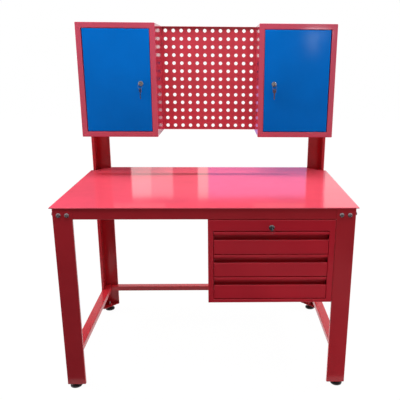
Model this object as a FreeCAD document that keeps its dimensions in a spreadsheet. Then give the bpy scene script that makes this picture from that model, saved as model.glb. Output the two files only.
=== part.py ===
import FreeCAD, Part
import math
import os
import Sketcher
from FreeCAD import Placement, Rotation, Vector

# Sheet-steel workbench: a folded frame on levelling feet, a drawer unit under the right half,
# two wall cabinets on the rear posts and a peg panel between them.
# X runs along the bench to the right, Y to the rear and Z up, in millimetres.
# While it is drawn, Y is 0 on the front faces of the legs. Each sub-part's placement then
# moves it, so that the origin lies on the floor in the middle of the whole bench.

doc = FreeCAD.newDocument("Workbench")
sheet = doc.addObject("Spreadsheet::Sheet", "Sizes")
sub_parts = []


class Size:
    """A number that remembers the spreadsheet formula it comes from."""

    def __init__(self, value, text):
        self.value = value
        self.text = text

    def __add__(self, other):
        other = as_size(other)
        return Size(self.value + other.value, "(%s + %s)" % (self.text, other.text))

    def __sub__(self, other):
        other = as_size(other)
        return Size(self.value - other.value, "(%s - %s)" % (self.text, other.text))

    def __mul__(self, other):
        other = as_size(other)
        return Size(self.value * other.value, "%s * %s" % (self.text, other.text))

    def __truediv__(self, other):
        other = as_size(other)
        return Size(self.value / other.value, "%s / %s" % (self.text, other.text))

    def __neg__(self):
        return Size(-self.value, "(0 - %s)" % self.text)

    def __radd__(self, other):
        return as_size(other) + self

    def __rsub__(self, other):
        return as_size(other) - self

    def __rmul__(self, other):
        return as_size(other) * self


def as_size(number):
    """A plain number becomes a Size without a cell."""
    if isinstance(number, Size):
        return number
    return Size(float(number), "(%.6f)" % number)


def cell(name, value):
    """Write one driving dimension into the next row of the sheet."""
    cell.row += 1
    sheet.set("A%d" % cell.row, name)
    sheet.set("B%d" % cell.row, str(value))
    sheet.setAlias("B%d" % cell.row, name)
    return Size(float(value), "Sizes.%s" % name)


cell.row = 0

# Worktop and frame
worktop_length = cell("worktop_length", 1200)
worktop_depth = cell("worktop_depth", 750)
worktop_gauge = cell("worktop_gauge", 4)
bench_height = cell("bench_height", 805)
side_overhang = cell("side_overhang", 10)
front_overhang = cell("front_overhang", 5)
rear_inset = cell("rear_inset", 1)
frame_gauge = cell("frame_gauge", 2)
leg_width = cell("leg_width", 76)
leg_lip = cell("leg_lip", 12)
leg_clearance = cell("leg_clearance", 22)
apron_height = cell("apron_height", 46)
apron_flange = cell("apron_flange", 20)
post_gap = cell("post_gap", 1.5)
lip_gap = cell("lip_gap", 0.75)
fit_gap = cell("fit_gap", 1)
stretcher_top = cell("stretcher_top", 138)
stretcher_height = cell("stretcher_height", 24)
rear_stretcher_depth = cell("rear_stretcher_depth", 36)
side_stretcher_width = cell("side_stretcher_width", 42)

# Fasteners
bolt_radius = cell("bolt_radius", 4)
bolt_length = cell("bolt_length", 16)
bolt_flange_radius = cell("bolt_flange_radius", 8.9)
bolt_flange_height = cell("bolt_flange_height", 1.6)
bolt_head_height = cell("bolt_head_height", 8)
bolt_hex_radius = cell("bolt_hex_radius", 7.5)
nut_height = cell("nut_height", 6.5)
bolt_play = cell("bolt_play", 0.1)
bolt_drop = cell("bolt_drop", 32)
bolt_spread = cell("bolt_spread", 32)
bolt_inset = cell("bolt_inset", 24)
screw_radius = cell("screw_radius", 2.5)
screw_head_radius = cell("screw_head_radius", 4.5)
screw_head_height = cell("screw_head_height", 2.5)
screw_length = cell("screw_length", 10)

# Levelling feet
foot_radius = cell("foot_radius", 25)
foot_rim_height = cell("foot_rim_height", 6)
foot_height = cell("foot_height", 14)
foot_neck_radius = cell("foot_neck_radius", 9)
foot_inset = cell("foot_inset", 28)
stud_radius = cell("stud_radius", 5)
stud_play = cell("stud_play", 0.08)
stud_above_plate = cell("stud_above_plate", 20)
foot_plate_gauge = cell("foot_plate_gauge", 4)
weld_nut_height = cell("weld_nut_height", 8)
weld_nut_radius = cell("weld_nut_radius", 9.8)
foot_seat_gap = cell("foot_seat_gap", 0.3)

# Drawer unit
sheet_gauge = cell("sheet_gauge", 1.2)
unit_width = cell("unit_width", 502.5)
unit_height = cell("unit_height", 354.5)
unit_depth = cell("unit_depth", 600)
unit_drop = cell("unit_drop", 2)
unit_leg_gap = cell("unit_leg_gap", 2.5)
stile_width = cell("stile_width", 22)
top_rail_height = cell("top_rail_height", 46)
bottom_rail_height = cell("bottom_rail_height", 15)
stile_return = cell("stile_return", 13)
rail_inset = cell("rail_inset", 12)
rail_flange = cell("rail_flange", 30)
rail_end_gap = cell("rail_end_gap", 2)
rail_bolt_front = cell("rail_bolt_front", 100)
rail_bolt_inset = cell("rail_bolt_inset", 102)
drawer_gap = cell("drawer_gap", 3.5)
drawer_side_gap = cell("drawer_side_gap", 2)
face_height = cell("face_height", 60)
grip_depth = cell("grip_depth", 22)
hem_height = cell("hem_height", 11)
front_return = cell("front_return", 13)
tray_lift = cell("tray_lift", 5)
tray_rear_gap = cell("tray_rear_gap", 40.6)
tray_gauge = cell("tray_gauge", 1)
slide_end_gap = cell("slide_end_gap", 70.8)
slide_setback = cell("slide_setback", 28)
slide_level = cell("slide_level", 46)
slide_height = cell("slide_height", 45)
slide_width = cell("slide_width", 12.7)
slide_gauge = cell("slide_gauge", 1.2)
slide_play = cell("slide_play", 0.4)
slide_inset = cell("slide_inset", 1)
bracket_height = cell("bracket_height", 38)
unit_lock_drop = cell("unit_lock_drop", 32)
unit_cam_length = cell("unit_cam_length", 27)

# Wall cabinets and doors
cabinet_side_inset = cell("cabinet_side_inset", 9)
cabinet_width = cell("cabinet_width", 350)
cabinet_height = cell("cabinet_height", 505)
cabinet_depth = cell("cabinet_depth", 262)
cabinet_clearance = cell("cabinet_clearance", 198.5)
frame_side = cell("frame_side", 25)
frame_rail = cell("frame_rail", 24.5)
frame_return = cell("frame_return", 20)
door_gap = cell("door_gap", 1.5)
hinge_gap = cell("hinge_gap", 3)
door_return = cell("door_return", 18)
pin_inset = cell("pin_inset", 6)
pin_radius = cell("pin_radius", 2.5)
pin_play = cell("pin_play", 0.05)
pin_reach = cell("pin_reach", 9)
pin_head_radius = cell("pin_head_radius", 4.5)
pin_head_height = cell("pin_head_height", 1.5)
door_lock_inset = cell("door_lock_inset", 45)
door_lock_rise = cell("door_lock_rise", 242.5)
door_cam_length = cell("door_cam_length", 38)
shelf_rise = cell("shelf_rise", 296.5)
shelf_setback = cell("shelf_setback", 50)
shelf_lip = cell("shelf_lip", 15)
shelf_hem = cell("shelf_hem", 7.5)
shelf_play = cell("shelf_play", 0.5)
bracket_setback = cell("bracket_setback", 30)
bracket_leg = cell("bracket_leg", 14)

# Peg panel
panel_height = cell("panel_height", 500)
panel_flange = cell("panel_flange", 15)
panel_gauge = cell("panel_gauge", 1.5)
hole_pitch = cell("hole_pitch", 38.5)
hole_columns = cell("hole_columns", 12)
hole_rows = cell("hole_rows", 13)
hole_width = cell("hole_width", 15.5)
panel_screw_inset = cell("panel_screw_inset", 80)

# Locks and keys
lock_flange_radius = cell("lock_flange_radius", 11.5)
lock_flange_height = cell("lock_flange_height", 2.5)
lock_barrel_radius = cell("lock_barrel_radius", 9.5)
lock_barrel_length = cell("lock_barrel_length", 22)
lock_nut_radius = cell("lock_nut_radius", 13)
lock_nut_height = cell("lock_nut_height", 5)
lock_hole_play = cell("lock_hole_play", 0.2)
plug_radius = cell("plug_radius", 7)
plug_play = cell("plug_play", 0.05)
plug_proud = cell("plug_proud", 0.5)
tail_width = cell("tail_width", 6)
cam_gauge = cell("cam_gauge", 2)
cam_width = cell("cam_width", 15)
cam_gap = cell("cam_gap", 0.5)
key_gauge = cell("key_gauge", 2)
key_blade_width = cell("key_blade_width", 7)
key_blade_depth = cell("key_blade_depth", 17)
key_neck = cell("key_neck", 6)
key_play = cell("key_play", 0.2)
key_bow_radius = cell("key_bow_radius", 11)
key_hole_radius = cell("key_hole_radius", 3)
key_hole_offset = cell("key_hole_offset", 6)
spare_blade_length = cell("spare_blade_length", 28)
ring_radius = cell("ring_radius", 10)
unit_ring_radius = cell("unit_ring_radius", 7)
ring_wire = cell("ring_wire", 1.6)
ring_drop = cell("ring_drop", 1.6)
spare_drop = cell("spare_drop", 1)
doc.recompute()

SPARE_KEY_TURN = 40.0
HOLE_SIDES = 8
SHANK_SIDES = 8
HEAD_SIDES = 12
DRAWERS = ("bottom", "middle", "top")

# Places that follow from the sizes above
underside = bench_height - worktop_gauge
frame_side_x = worktop_length / 2 - side_overhang
frame_rear = worktop_depth - front_overhang + rear_inset
leg_inner_x = frame_side_x - leg_width
apron_bottom = underside - apron_height
leg_wall_x = frame_side_x - frame_gauge
lock_proud = lock_flange_height + plug_proud
key_reach = lock_proud + key_neck + key_bow_radius * 2
front_most = frame_gauge - key_reach
rear_most = frame_rear + bolt_head_height
middle_y = (front_most + rear_most) / 2


class Circle:
    """A round outline in a sketch."""

    def __init__(self, x, y, radius):
        self.x = as_size(x)
        self.y = as_size(y)
        self.radius = as_size(radius)


def rectangle(x_low, y_low, x_high, y_high):
    """Corner points of an upright rectangle."""
    return [(x_low, y_low), (x_high, y_low), (x_high, y_high), (x_low, y_high)]


def regular(sides, x, y, radius, start_degrees):
    """Corner points of a regular polygon on a circle of this radius."""
    points = []
    for index in range(sides):
        angle = math.radians(start_degrees + 360.0 * index / sides)
        points.append((x + radius * math.cos(angle), y + radius * math.sin(angle)))
    return points


def shank(x, y, radius):
    """Outline of a bolt's or a screw's shank, or of the hole for it."""
    return regular(SHANK_SIDES, x, y, radius, 180.0 / SHANK_SIDES)


def head(radius):
    """Outline of a low round head or flange."""
    return regular(HEAD_SIDES, 0, 0, radius, 180.0 / HEAD_SIDES)


def mirrored(points, side):
    """The same outline on the right, side 1, or on the left, side -1."""
    return [(side * as_size(x), y) for x, y in points]


def folded(path, gauge):
    """Closed section of a folded sheet: the path is one surface, and the sheet lies on its
    right-hand side. Each fold's corner is the meeting point of the two offset lines."""
    path = [(as_size(x), as_size(y)) for x, y in path]
    normals = []
    for (x0, y0), (x1, y1) in zip(path, path[1:]):
        run = x1.value - x0.value
        rise = y1.value - y0.value
        length = math.hypot(run, rise)
        normals.append((rise / length, -run / length))
    inside = []
    for index, (x, y) in enumerate(path):
        before = normals[max(index - 1, 0)]
        after = normals[min(index, len(normals) - 1)]
        share = 1.0 + before[0] * after[0] + before[1] * after[1]
        across = (before[0] + after[0]) / share
        along = (before[1] + after[1]) / share
        inside.append((x + gauge * across, y + gauge * along))
    return path + inside[::-1]


class Piece:
    """One solid: a PartDesign body whose sketches are tied to the sheet."""

    NORMALS = {"XY_Plane": 1, "XZ_Plane": -1, "YZ_Plane": 1}

    def __init__(self, label):
        self.body = doc.addObject("PartDesign::Body", "Body_" + label)
        self.body.Label = label
        self.count = 0

    def sketch(self, plane, loops, at):
        self.count += 1
        name = "%s_sketch_%d" % (self.body.Label, self.count)
        sketch = self.body.newObject("Sketcher::SketchObject", name)
        for feature in self.body.Origin.OriginFeatures:
            if feature.Role == plane:
                sketch.AttachmentSupport = [(feature, "")]
        sketch.MapMode = "FlatFace"
        offset = as_size(at) * self.NORMALS[plane]
        sketch.AttachmentOffset = Placement(Vector(0, 0, offset.value), Rotation())
        sketch.setExpression("AttachmentOffset.Base.z", offset.text)
        for loop in loops:
            if isinstance(loop, Circle):
                self.draw_circle(sketch, loop)
            else:
                self.draw_polygon(sketch, loop)
        return sketch

    def hold(self, sketch, joined, ties):
        """Add all constraints of one outline at once, and tie each size to its formula."""
        constraints = list(joined)
        for kind, places, size in ties:
            constraints.append(Sketcher.Constraint(kind, *places, size.value))
        numbers = sketch.addConstraint(constraints)
        for number, (kind, places, size) in zip(numbers[len(joined):], ties):
            sketch.setExpression("Constraints[%d]" % number, size.text)

    def draw_circle(self, sketch, circle):
        centre = Vector(circle.x.value, circle.y.value, 0)
        shape = Part.Circle(centre, Vector(0, 0, 1), circle.radius.value)
        index = sketch.addGeometry(shape, False)
        self.hold(sketch, [], [("DistanceX", (-1, 1, index, 3), circle.x),
                               ("DistanceY", (-1, 1, index, 3), circle.y),
                               ("Radius", (index,), circle.radius)])

    def draw_polygon(self, sketch, points):
        points = [(as_size(x), as_size(y)) for x, y in points]
        first = sketch.GeometryCount
        total = len(points)
        corners = [Vector(x.value, y.value, 0) for x, y in points]
        lines = [Part.LineSegment(corners[index], corners[(index + 1) % total])
                 for index in range(total)]
        sketch.addGeometry(lines, False)
        joined = [Sketcher.Constraint("Coincident", first + index, 2,
                                      first + (index + 1) % total, 1)
                  for index in range(total)]
        ties = []
        for index, (x, y) in enumerate(points):
            ties.append(("DistanceX", (-1, 1, first + index, 1), x))
            ties.append(("DistanceY", (-1, 1, first + index, 1), y))
        self.hold(sketch, joined, ties)

    def feature(self, kind, plane, loops, low, high):
        """A straight pad or pocket between two places on the axis across the plane."""
        start = high if self.NORMALS[plane] < 0 else low
        sketch = self.sketch(plane, loops, start)
        name = "%s_feature_%d" % (self.body.Label, self.count)
        feature = self.body.newObject("PartDesign::" + kind, name)
        feature.Profile = sketch
        length = as_size(high) - low
        feature.Length = length.value
        feature.setExpression("Length", length.text)
        sketch.Visibility = False
        self.body.Tip = feature
        return feature

    def pad(self, plane, loops, low, high):
        self.feature("Pad", plane, loops, low, high)
        return self

    def cut(self, plane, loops, low, high):
        feature = self.feature("Pocket", plane, loops, low, high)
        feature.Reversed = True
        return self

    def revolve(self, points):
        """Turn a half section, drawn as radius and height, round the Z axis."""
        sketch = self.sketch("XZ_Plane", [points], 0)
        feature = self.body.newObject("PartDesign::Revolution", self.body.Label + "_turn")
        feature.Profile = sketch
        feature.ReferenceAxis = (sketch, ["V_Axis"])
        feature.Angle = 360
        self.body.Tip = feature
        return self


def move_to_middle(item):
    """Bench coordinates to the part's own frame."""
    item.Placement = Placement(Vector(0, -middle_y.value, 0), Rotation())
    item.setExpression("Placement.Base.y", (-middle_y).text)


def keep(piece):
    """A body is a sub-part of its own."""
    move_to_middle(piece.body)
    sub_parts.append(piece.body)
    return piece


def placed(piece, x, y, z, rotation=None):
    """A copy of a body at this place."""
    placed.count += 1
    link = doc.addObject("App::Link", "Copy_%d" % placed.count)
    link.LinkedObject = piece.body
    sizes = [as_size(x), as_size(y), as_size(z)]
    link.Placement = Placement(Vector(*[size.value for size in sizes]), rotation or Rotation())
    for axis, size in zip("xyz", sizes):
        link.setExpression("Placement.Base." + axis, size.text)
    return link


placed.count = 0


def group(label, links):
    """Several solids that share one sub-part."""
    compound = doc.addObject("Part::Compound", label)
    compound.Label = label
    compound.Links = [link.body if isinstance(link, Piece) else link for link in links]
    move_to_middle(compound)
    sub_parts.append(compound)
    return compound


# Directions in which a fastener's head can look
FACING = {
    "front": Rotation(Vector(1, 0, 0), 90),
    "rear": Rotation(Vector(1, 0, 0), -90),
    "right": Rotation(Vector(0, 1, 0), 90),
    "left": Rotation(Vector(0, 1, 0), -90),
    "up": Rotation(),
    "down": Rotation(Vector(1, 0, 0), 180),
}
HEAD_DIRECTION = {
    "front": (0, -1, 0),
    "rear": (0, 1, 0),
    "right": (1, 0, 0),
    "left": (-1, 0, 0),
    "up": (0, 0, 1),
    "down": (0, 0, -1),
}


def worktop():
    """Plate with a clipped corner round each rear post."""
    half = worktop_length / 2
    rear = worktop_depth - front_overhang
    notch_y = frame_rear - leg_width - post_gap
    notch_x = frame_side_x - leg_lip - lip_gap
    inner_x = leg_inner_x - post_gap
    inner_y = frame_rear - leg_lip - lip_gap
    right = [(half, -front_overhang), (half, notch_y), (notch_x, notch_y),
             (inner_x, inner_y), (inner_x, rear)]
    left = mirrored(right[::-1], -1)
    piece = Piece("worktop")
    piece.pad("XY_Plane", [right + left], underside, bench_height)
    keep(piece)


def apron(label, rear):
    """Front or rear apron: a channel whose web runs on behind the two leg faces."""
    def y_place(inward):
        return frame_rear - inward if rear else as_size(inward)

    web = frame_gauge
    path = [(web + apron_flange, apron_bottom), (web, apron_bottom),
            (web, underside), (web + apron_flange, underside)]
    section = [(y_place(y), z) for y, z in folded(path, frame_gauge)]
    web_end = leg_wall_x - frame_gauge - fit_gap
    flange_end = leg_inner_x - fit_gap
    behind_web = web + frame_gauge
    notch = [(y_place(y), z) for y, z in rectangle(
        behind_web, apron_bottom, web + apron_flange, underside)]
    piece = Piece(label)
    piece.pad("YZ_Plane", [section], -web_end, web_end)
    piece.cut("YZ_Plane", [notch], flange_end, web_end)
    piece.cut("YZ_Plane", [notch], -web_end, -flange_end)
    holes = [shank(side * x, bolt_level, bolt_radius + bolt_play)
             for side in (-1, 1) for x in front_bolt_x]
    low, high = sorted([y_place(web), y_place(behind_web)], key=lambda size: size.value)
    piece.cut("XZ_Plane", holes, low, high)
    keep(piece)


def side_apron(label, side):
    """Channel between a front leg and a rear post."""
    inner = leg_wall_x - apron_flange
    path = [(inner, underside), (leg_wall_x, underside),
            (leg_wall_x, apron_bottom), (inner, apron_bottom)]
    section = mirrored(folded(path, frame_gauge), side)
    start = 2 * frame_gauge + fit_gap
    piece = Piece(label)
    piece.pad("XZ_Plane", [section], start, frame_rear - start)
    holes = [shank(y, bolt_level, bolt_radius + bolt_play) for y in side_bolt_y]
    low, high = span(side, leg_wall_x - frame_gauge, leg_wall_x)
    piece.cut("YZ_Plane", holes, low, high)
    keep(piece)


def span(side, inner, outer):
    """Low and high X of a stretch on the right or on the left."""
    if side > 0:
        return inner, outer
    return -outer, -inner


def leg(label, side, rear, top):
    """Angle profile with two return lips. The lips are cut away where the aprons, the worktop
    and the stretchers pass."""
    def place(points):
        turned = [(x, frame_rear - y) for x, y in points] if rear else points
        return mirrored(turned, side)

    path = [(leg_inner_x, leg_lip), (leg_inner_x, 0), (frame_side_x, 0),
            (frame_side_x, leg_width), (frame_side_x - leg_lip, leg_width)]
    gauge = frame_gauge
    inside = [(frame_side_x - leg_lip, leg_width - gauge), (leg_wall_x, leg_width - gauge),
              (leg_wall_x, gauge), (leg_inner_x + gauge, gauge), (leg_inner_x + gauge, leg_lip)]
    inner_lip = rectangle(leg_inner_x, gauge, leg_inner_x + gauge, leg_lip)
    side_lip = rectangle(frame_side_x - leg_lip, leg_width - gauge, leg_wall_x, leg_width)
    piece = Piece(label)
    piece.pad("XY_Plane", [place(path + inside)], leg_clearance, top)
    lips_end = bench_height + post_gap if rear else underside
    piece.cut("XY_Plane", [place(inner_lip), place(side_lip)], apron_bottom - fit_gap, lips_end)
    stretcher_lips = [place(side_lip)]
    if rear:
        stretcher_lips.append(place(inner_lip))
    piece.cut("XY_Plane", stretcher_lips,
              stretcher_top - stretcher_height - fit_gap, stretcher_top + fit_gap)

    hole = bolt_radius + bolt_play
    face_holes = [shank(side * x, bolt_level, hole) for x in front_bolt_x]
    if rear:
        face_holes.append(shank(side * rear_stretcher_bolt_x, stretcher_bolt_level, hole))
        piece.cut("XZ_Plane", face_holes, frame_rear - gauge, frame_rear)
    else:
        piece.cut("XZ_Plane", face_holes, 0, gauge)
    wall_y = side_bolt_y[2:] + [frame_rear - side_stretcher_bolt_y]
    if not rear:
        wall_y = side_bolt_y[:2] + [side_stretcher_bolt_y]
    wall_holes = [shank(wall_y[0], bolt_level, hole), shank(wall_y[1], bolt_level, hole),
                  shank(wall_y[2], stretcher_bolt_level, hole)]
    low, high = span(side, leg_wall_x, frame_side_x)
    piece.cut("YZ_Plane", wall_holes, low, high)
    keep(piece)


def corner_plate():
    """Outline that fills the inside of an angle profile up to its lips, rear right."""
    gauge = frame_gauge
    inner = leg_inner_x + gauge
    front = frame_rear - leg_width + gauge
    return [(leg_wall_x, frame_rear - gauge), (leg_wall_x, front),
            (frame_side_x - leg_lip, front), (inner, frame_rear - leg_lip),
            (inner, frame_rear - gauge)]


def foot_plates():
    """A plate in the foot of each leg, with a welded nut for the levelling stud."""
    solids = []
    hole = stud_radius + stud_play
    foot_x = frame_side_x - foot_inset
    top = leg_clearance + foot_plate_gauge
    for side in (-1, 1):
        for rear in (False, True):
            outline = corner_plate()
            foot_y = frame_rear - foot_inset
            if not rear:
                outline = [(x, frame_rear - y) for x, y in outline]
                foot_y = foot_inset
            end = "rear" if rear else "front"
            hand = "right" if side > 0 else "left"
            piece = Piece("foot_plate_%s_%s" % (end, hand))
            piece.pad("XY_Plane", [mirrored(outline, side)], leg_clearance, top)
            nut = regular(6, side * foot_x, foot_y, weld_nut_radius, 0)
            piece.pad("XY_Plane", [nut], top, top + weld_nut_height)
            bore = Circle(side * foot_x, foot_y, hole)
            piece.cut("XY_Plane", [bore], leg_clearance, top + weld_nut_height)
            solids.append(piece)
    group("foot_plates", solids)


def head_plates():
    """A plate in the head of each rear post, bolted to the cabinet above it."""
    solids = []
    for side, hand in ((-1, "left"), (1, "right")):
        piece = Piece("head_plate_" + hand)
        piece.pad("XY_Plane", [mirrored(corner_plate(), side)],
                  cabinet_base - foot_plate_gauge, cabinet_base)
        piece.cut("XY_Plane", [shank(side * cabinet_bolt_x, cabinet_bolt_y,
                                      bolt_radius + bolt_play)],
                  cabinet_base - foot_plate_gauge, cabinet_base)
        solids.append(piece)
    group("head_plates", solids)


def rear_stretcher():
    """Channel, open below, between the rear posts."""
    rear = frame_rear - frame_gauge
    front = rear - rear_stretcher_depth
    bottom = stretcher_top - stretcher_height
    path = [(front, bottom), (front, stretcher_top), (rear, stretcher_top), (rear, bottom)]
    end = leg_wall_x - side_stretcher_width - fit_gap
    piece = Piece("rear_stretcher")
    piece.pad("YZ_Plane", [folded(path, frame_gauge)], -end, end)
    holes = [shank(side * rear_stretcher_bolt_x, stretcher_bolt_level, bolt_radius + bolt_play)
             for side in (-1, 1)]
    piece.cut("XZ_Plane", holes, rear - frame_gauge, rear)
    keep(piece)


def side_stretcher(label, side):
    """Channel, open below, between a front leg and a rear post."""
    inner = leg_wall_x - side_stretcher_width
    bottom = stretcher_top - stretcher_height
    path = [(inner, bottom), (inner, stretcher_top),
            (leg_wall_x, stretcher_top), (leg_wall_x, bottom)]
    start = frame_gauge + fit_gap
    piece = Piece(label)
    piece.pad("XZ_Plane", [mirrored(folded(path, frame_gauge), side)], start, frame_rear - start)
    holes = [shank(y, stretcher_bolt_level, bolt_radius + bolt_play)
             for y in (side_stretcher_bolt_y, frame_rear - side_stretcher_bolt_y)]
    low, high = span(side, leg_wall_x - frame_gauge, leg_wall_x)
    piece.cut("YZ_Plane", holes, low, high)
    keep(piece)


def bolts_and_nuts():
    """Flange bolts with their heads outside, and a nut behind each."""
    bolt = Piece("bolt_model")
    bolt.pad("XY_Plane", [head(bolt_flange_radius)], 0, bolt_flange_height)
    bolt.pad("XY_Plane", [regular(6, 0, 0, bolt_hex_radius, 0)],
             bolt_flange_height, bolt_head_height)
    bolt.pad("XY_Plane", [shank(0, 0, bolt_radius)], -bolt_length, 0)
    nut = Piece("nut_model")
    nut.pad("XY_Plane", [regular(6, 0, 0, bolt_hex_radius, 30),
                         shank(0, 0, bolt_radius + bolt_play)], -nut_height, 0)
    bolts = []
    nuts = []

    def fasten(facing, x, y, z, clamped):
        direction = HEAD_DIRECTION[facing]
        seat = [as_size(value) - clamped * way for value, way in zip((x, y, z), direction)]
        bolts.append(placed(bolt, x, y, z, FACING[facing]))
        nuts.append(placed(nut, seat[0], seat[1], seat[2], FACING[facing]))

    two_sheets = 2 * frame_gauge
    for side, facing in ((-1, "left"), (1, "right")):
        for x in front_bolt_x:
            fasten("front", side * x, 0, bolt_level, two_sheets)
            fasten("rear", side * x, frame_rear, bolt_level, two_sheets)
        for y in side_bolt_y:
            fasten(facing, side * frame_side_x, y, bolt_level, two_sheets)
        for y in (side_stretcher_bolt_y, frame_rear - side_stretcher_bolt_y):
            fasten(facing, side * frame_side_x, y, stretcher_bolt_level, two_sheets)
        fasten("rear", side * rear_stretcher_bolt_x, frame_rear, stretcher_bolt_level,
               two_sheets)
        fasten("up", side * cabinet_bolt_x, cabinet_bolt_y, cabinet_base + sheet_gauge,
               sheet_gauge + foot_plate_gauge)
    for x in rail_bolt_x:
        for y in (rail_bolt_front, rail_bolt_rear):
            fasten("down", x, y, unit_top - sheet_gauge, sheet_gauge + frame_gauge)
    group("frame_bolts", bolts)
    group("frame_nuts", nuts)


def levelling_feet():
    """Disc with a sloping shoulder, and a threaded stud with a collar, for each leg."""
    collar_top = leg_clearance - foot_seat_gap
    disc = Piece("foot_disc_model")
    disc.revolve([(0, 0), (foot_radius, 0), (foot_radius, foot_rim_height),
                  (foot_neck_radius, foot_height), (0, foot_height)])
    stud = Piece("foot_stud_model")
    stud.pad("XY_Plane", [regular(6, 0, 0, foot_neck_radius, 0)], foot_height, collar_top)
    stud.pad("XY_Plane", [Circle(0, 0, stud_radius)], collar_top,
             leg_clearance + foot_plate_gauge + stud_above_plate)
    foot_x = frame_side_x - foot_inset
    for side, hand in ((-1, "left"), (1, "right")):
        for end, foot_y in (("front", foot_inset), ("rear", frame_rear - foot_inset)):
            group("foot_%s_%s" % (end, hand),
                  [placed(disc, side * foot_x, foot_y, 0), placed(stud, side * foot_x, foot_y, 0)])


def unit_rails():
    """Two channels under the worktop that carry the drawer unit."""
    start = frame_gauge + apron_flange + rail_end_gap
    solids = []
    for name, web_x, way in (("left", unit_left + rail_inset, 1),
                             ("right", unit_right - rail_inset, -1)):
        tip = web_x + way * rail_flange
        outline = folded([(tip, unit_top), (web_x, unit_top), (web_x, underside),
                          (tip, underside)], frame_gauge)
        if way < 0:
            outline = folded([(tip, underside), (web_x, underside), (web_x, unit_top),
                              (tip, unit_top)], frame_gauge)
        piece = Piece("unit_rail_" + name)
        piece.pad("XZ_Plane", [outline], start, frame_rear - start)
        index = 0 if way > 0 else 1
        holes = [shank(rail_bolt_x[index], y, bolt_radius + bolt_play)
                 for y in (rail_bolt_front, rail_bolt_rear)]
        piece.cut("XY_Plane", holes, unit_top, unit_top + frame_gauge)
        solids.append(piece)
    group("unit_rails", solids)


def unit_shell():
    """Folded case of the drawer unit: stiles and rails stand round the drawer opening."""
    front = frame_gauge
    rear = front + unit_depth
    behind = front + sheet_gauge
    piece = Piece("unit_shell")
    piece.pad("XZ_Plane", [rectangle(unit_left, unit_bottom, unit_right, unit_top)], front, rear)
    piece.cut("XZ_Plane", [rectangle(unit_left + sheet_gauge, unit_bottom + sheet_gauge,
                                     unit_right - sheet_gauge, unit_top - sheet_gauge)],
              behind, rear)
    piece.cut("XZ_Plane", [rectangle(opening_left, opening_bottom, opening_right, opening_top)],
              front, behind)
    returns = [rectangle(opening_left - sheet_gauge, opening_bottom, opening_left, opening_top),
               rectangle(opening_right, opening_bottom, opening_right + sheet_gauge, opening_top)]
    piece.pad("XZ_Plane", returns, behind, behind + stile_return)
    piece.cut("XZ_Plane", [Circle(unit_middle, unit_lock_level,
                                  lock_barrel_radius + lock_hole_play)], front, behind)
    holes = [shank(x, y, bolt_radius + bolt_play) for x in rail_bolt_x
             for y in (rail_bolt_front, rail_bolt_rear)]
    piece.cut("XY_Plane", holes, unit_top - sheet_gauge, unit_top)
    keep(piece)

    back = Piece("unit_back")
    back.pad("XZ_Plane", [rectangle(unit_left + sheet_gauge, unit_bottom + sheet_gauge,
                                    unit_right - sheet_gauge, unit_top - sheet_gauge)],
             rear - sheet_gauge, rear)
    keep(back)


def slide_sections(level):
    """Sections of the bracket and of the three runner members, on the unit's left side. Each
    channel lies in the next one with the slide play between them."""
    wall = unit_left + sheet_gauge
    web = opening_left + slide_inset
    half = slide_height / 2
    mouth = web + slide_width - slide_gauge - slide_play
    middle_web = web + slide_gauge + slide_play
    middle_half = half - slide_gauge - slide_play
    inner_half = middle_half - slide_gauge - slide_play
    inner_web = web + slide_width
    inner_tip = middle_web + slide_gauge + slide_play

    bracket = folded([(wall, level + bracket_height / 2), (web, level + bracket_height / 2),
                      (web, level - bracket_height / 2), (wall, level - bracket_height / 2)],
                     slide_gauge)
    fixed = folded([(mouth, level - half), (web, level - half),
                    (web, level + half), (mouth, level + half)], slide_gauge)
    middle = folded([(mouth, level - middle_half), (middle_web, level - middle_half),
                     (middle_web, level + middle_half), (mouth, level + middle_half)],
                    slide_gauge)
    inner = folded([(inner_tip, level + inner_half), (inner_web, level + inner_half),
                    (inner_web, level - inner_half), (inner_tip, level - inner_half)],
                   slide_gauge)
    return bracket, fixed, middle, inner


def other_side(points):
    """The same outline on the far side of the drawer unit."""
    return [(2 * unit_middle - x, y) for x, y in points]


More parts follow.
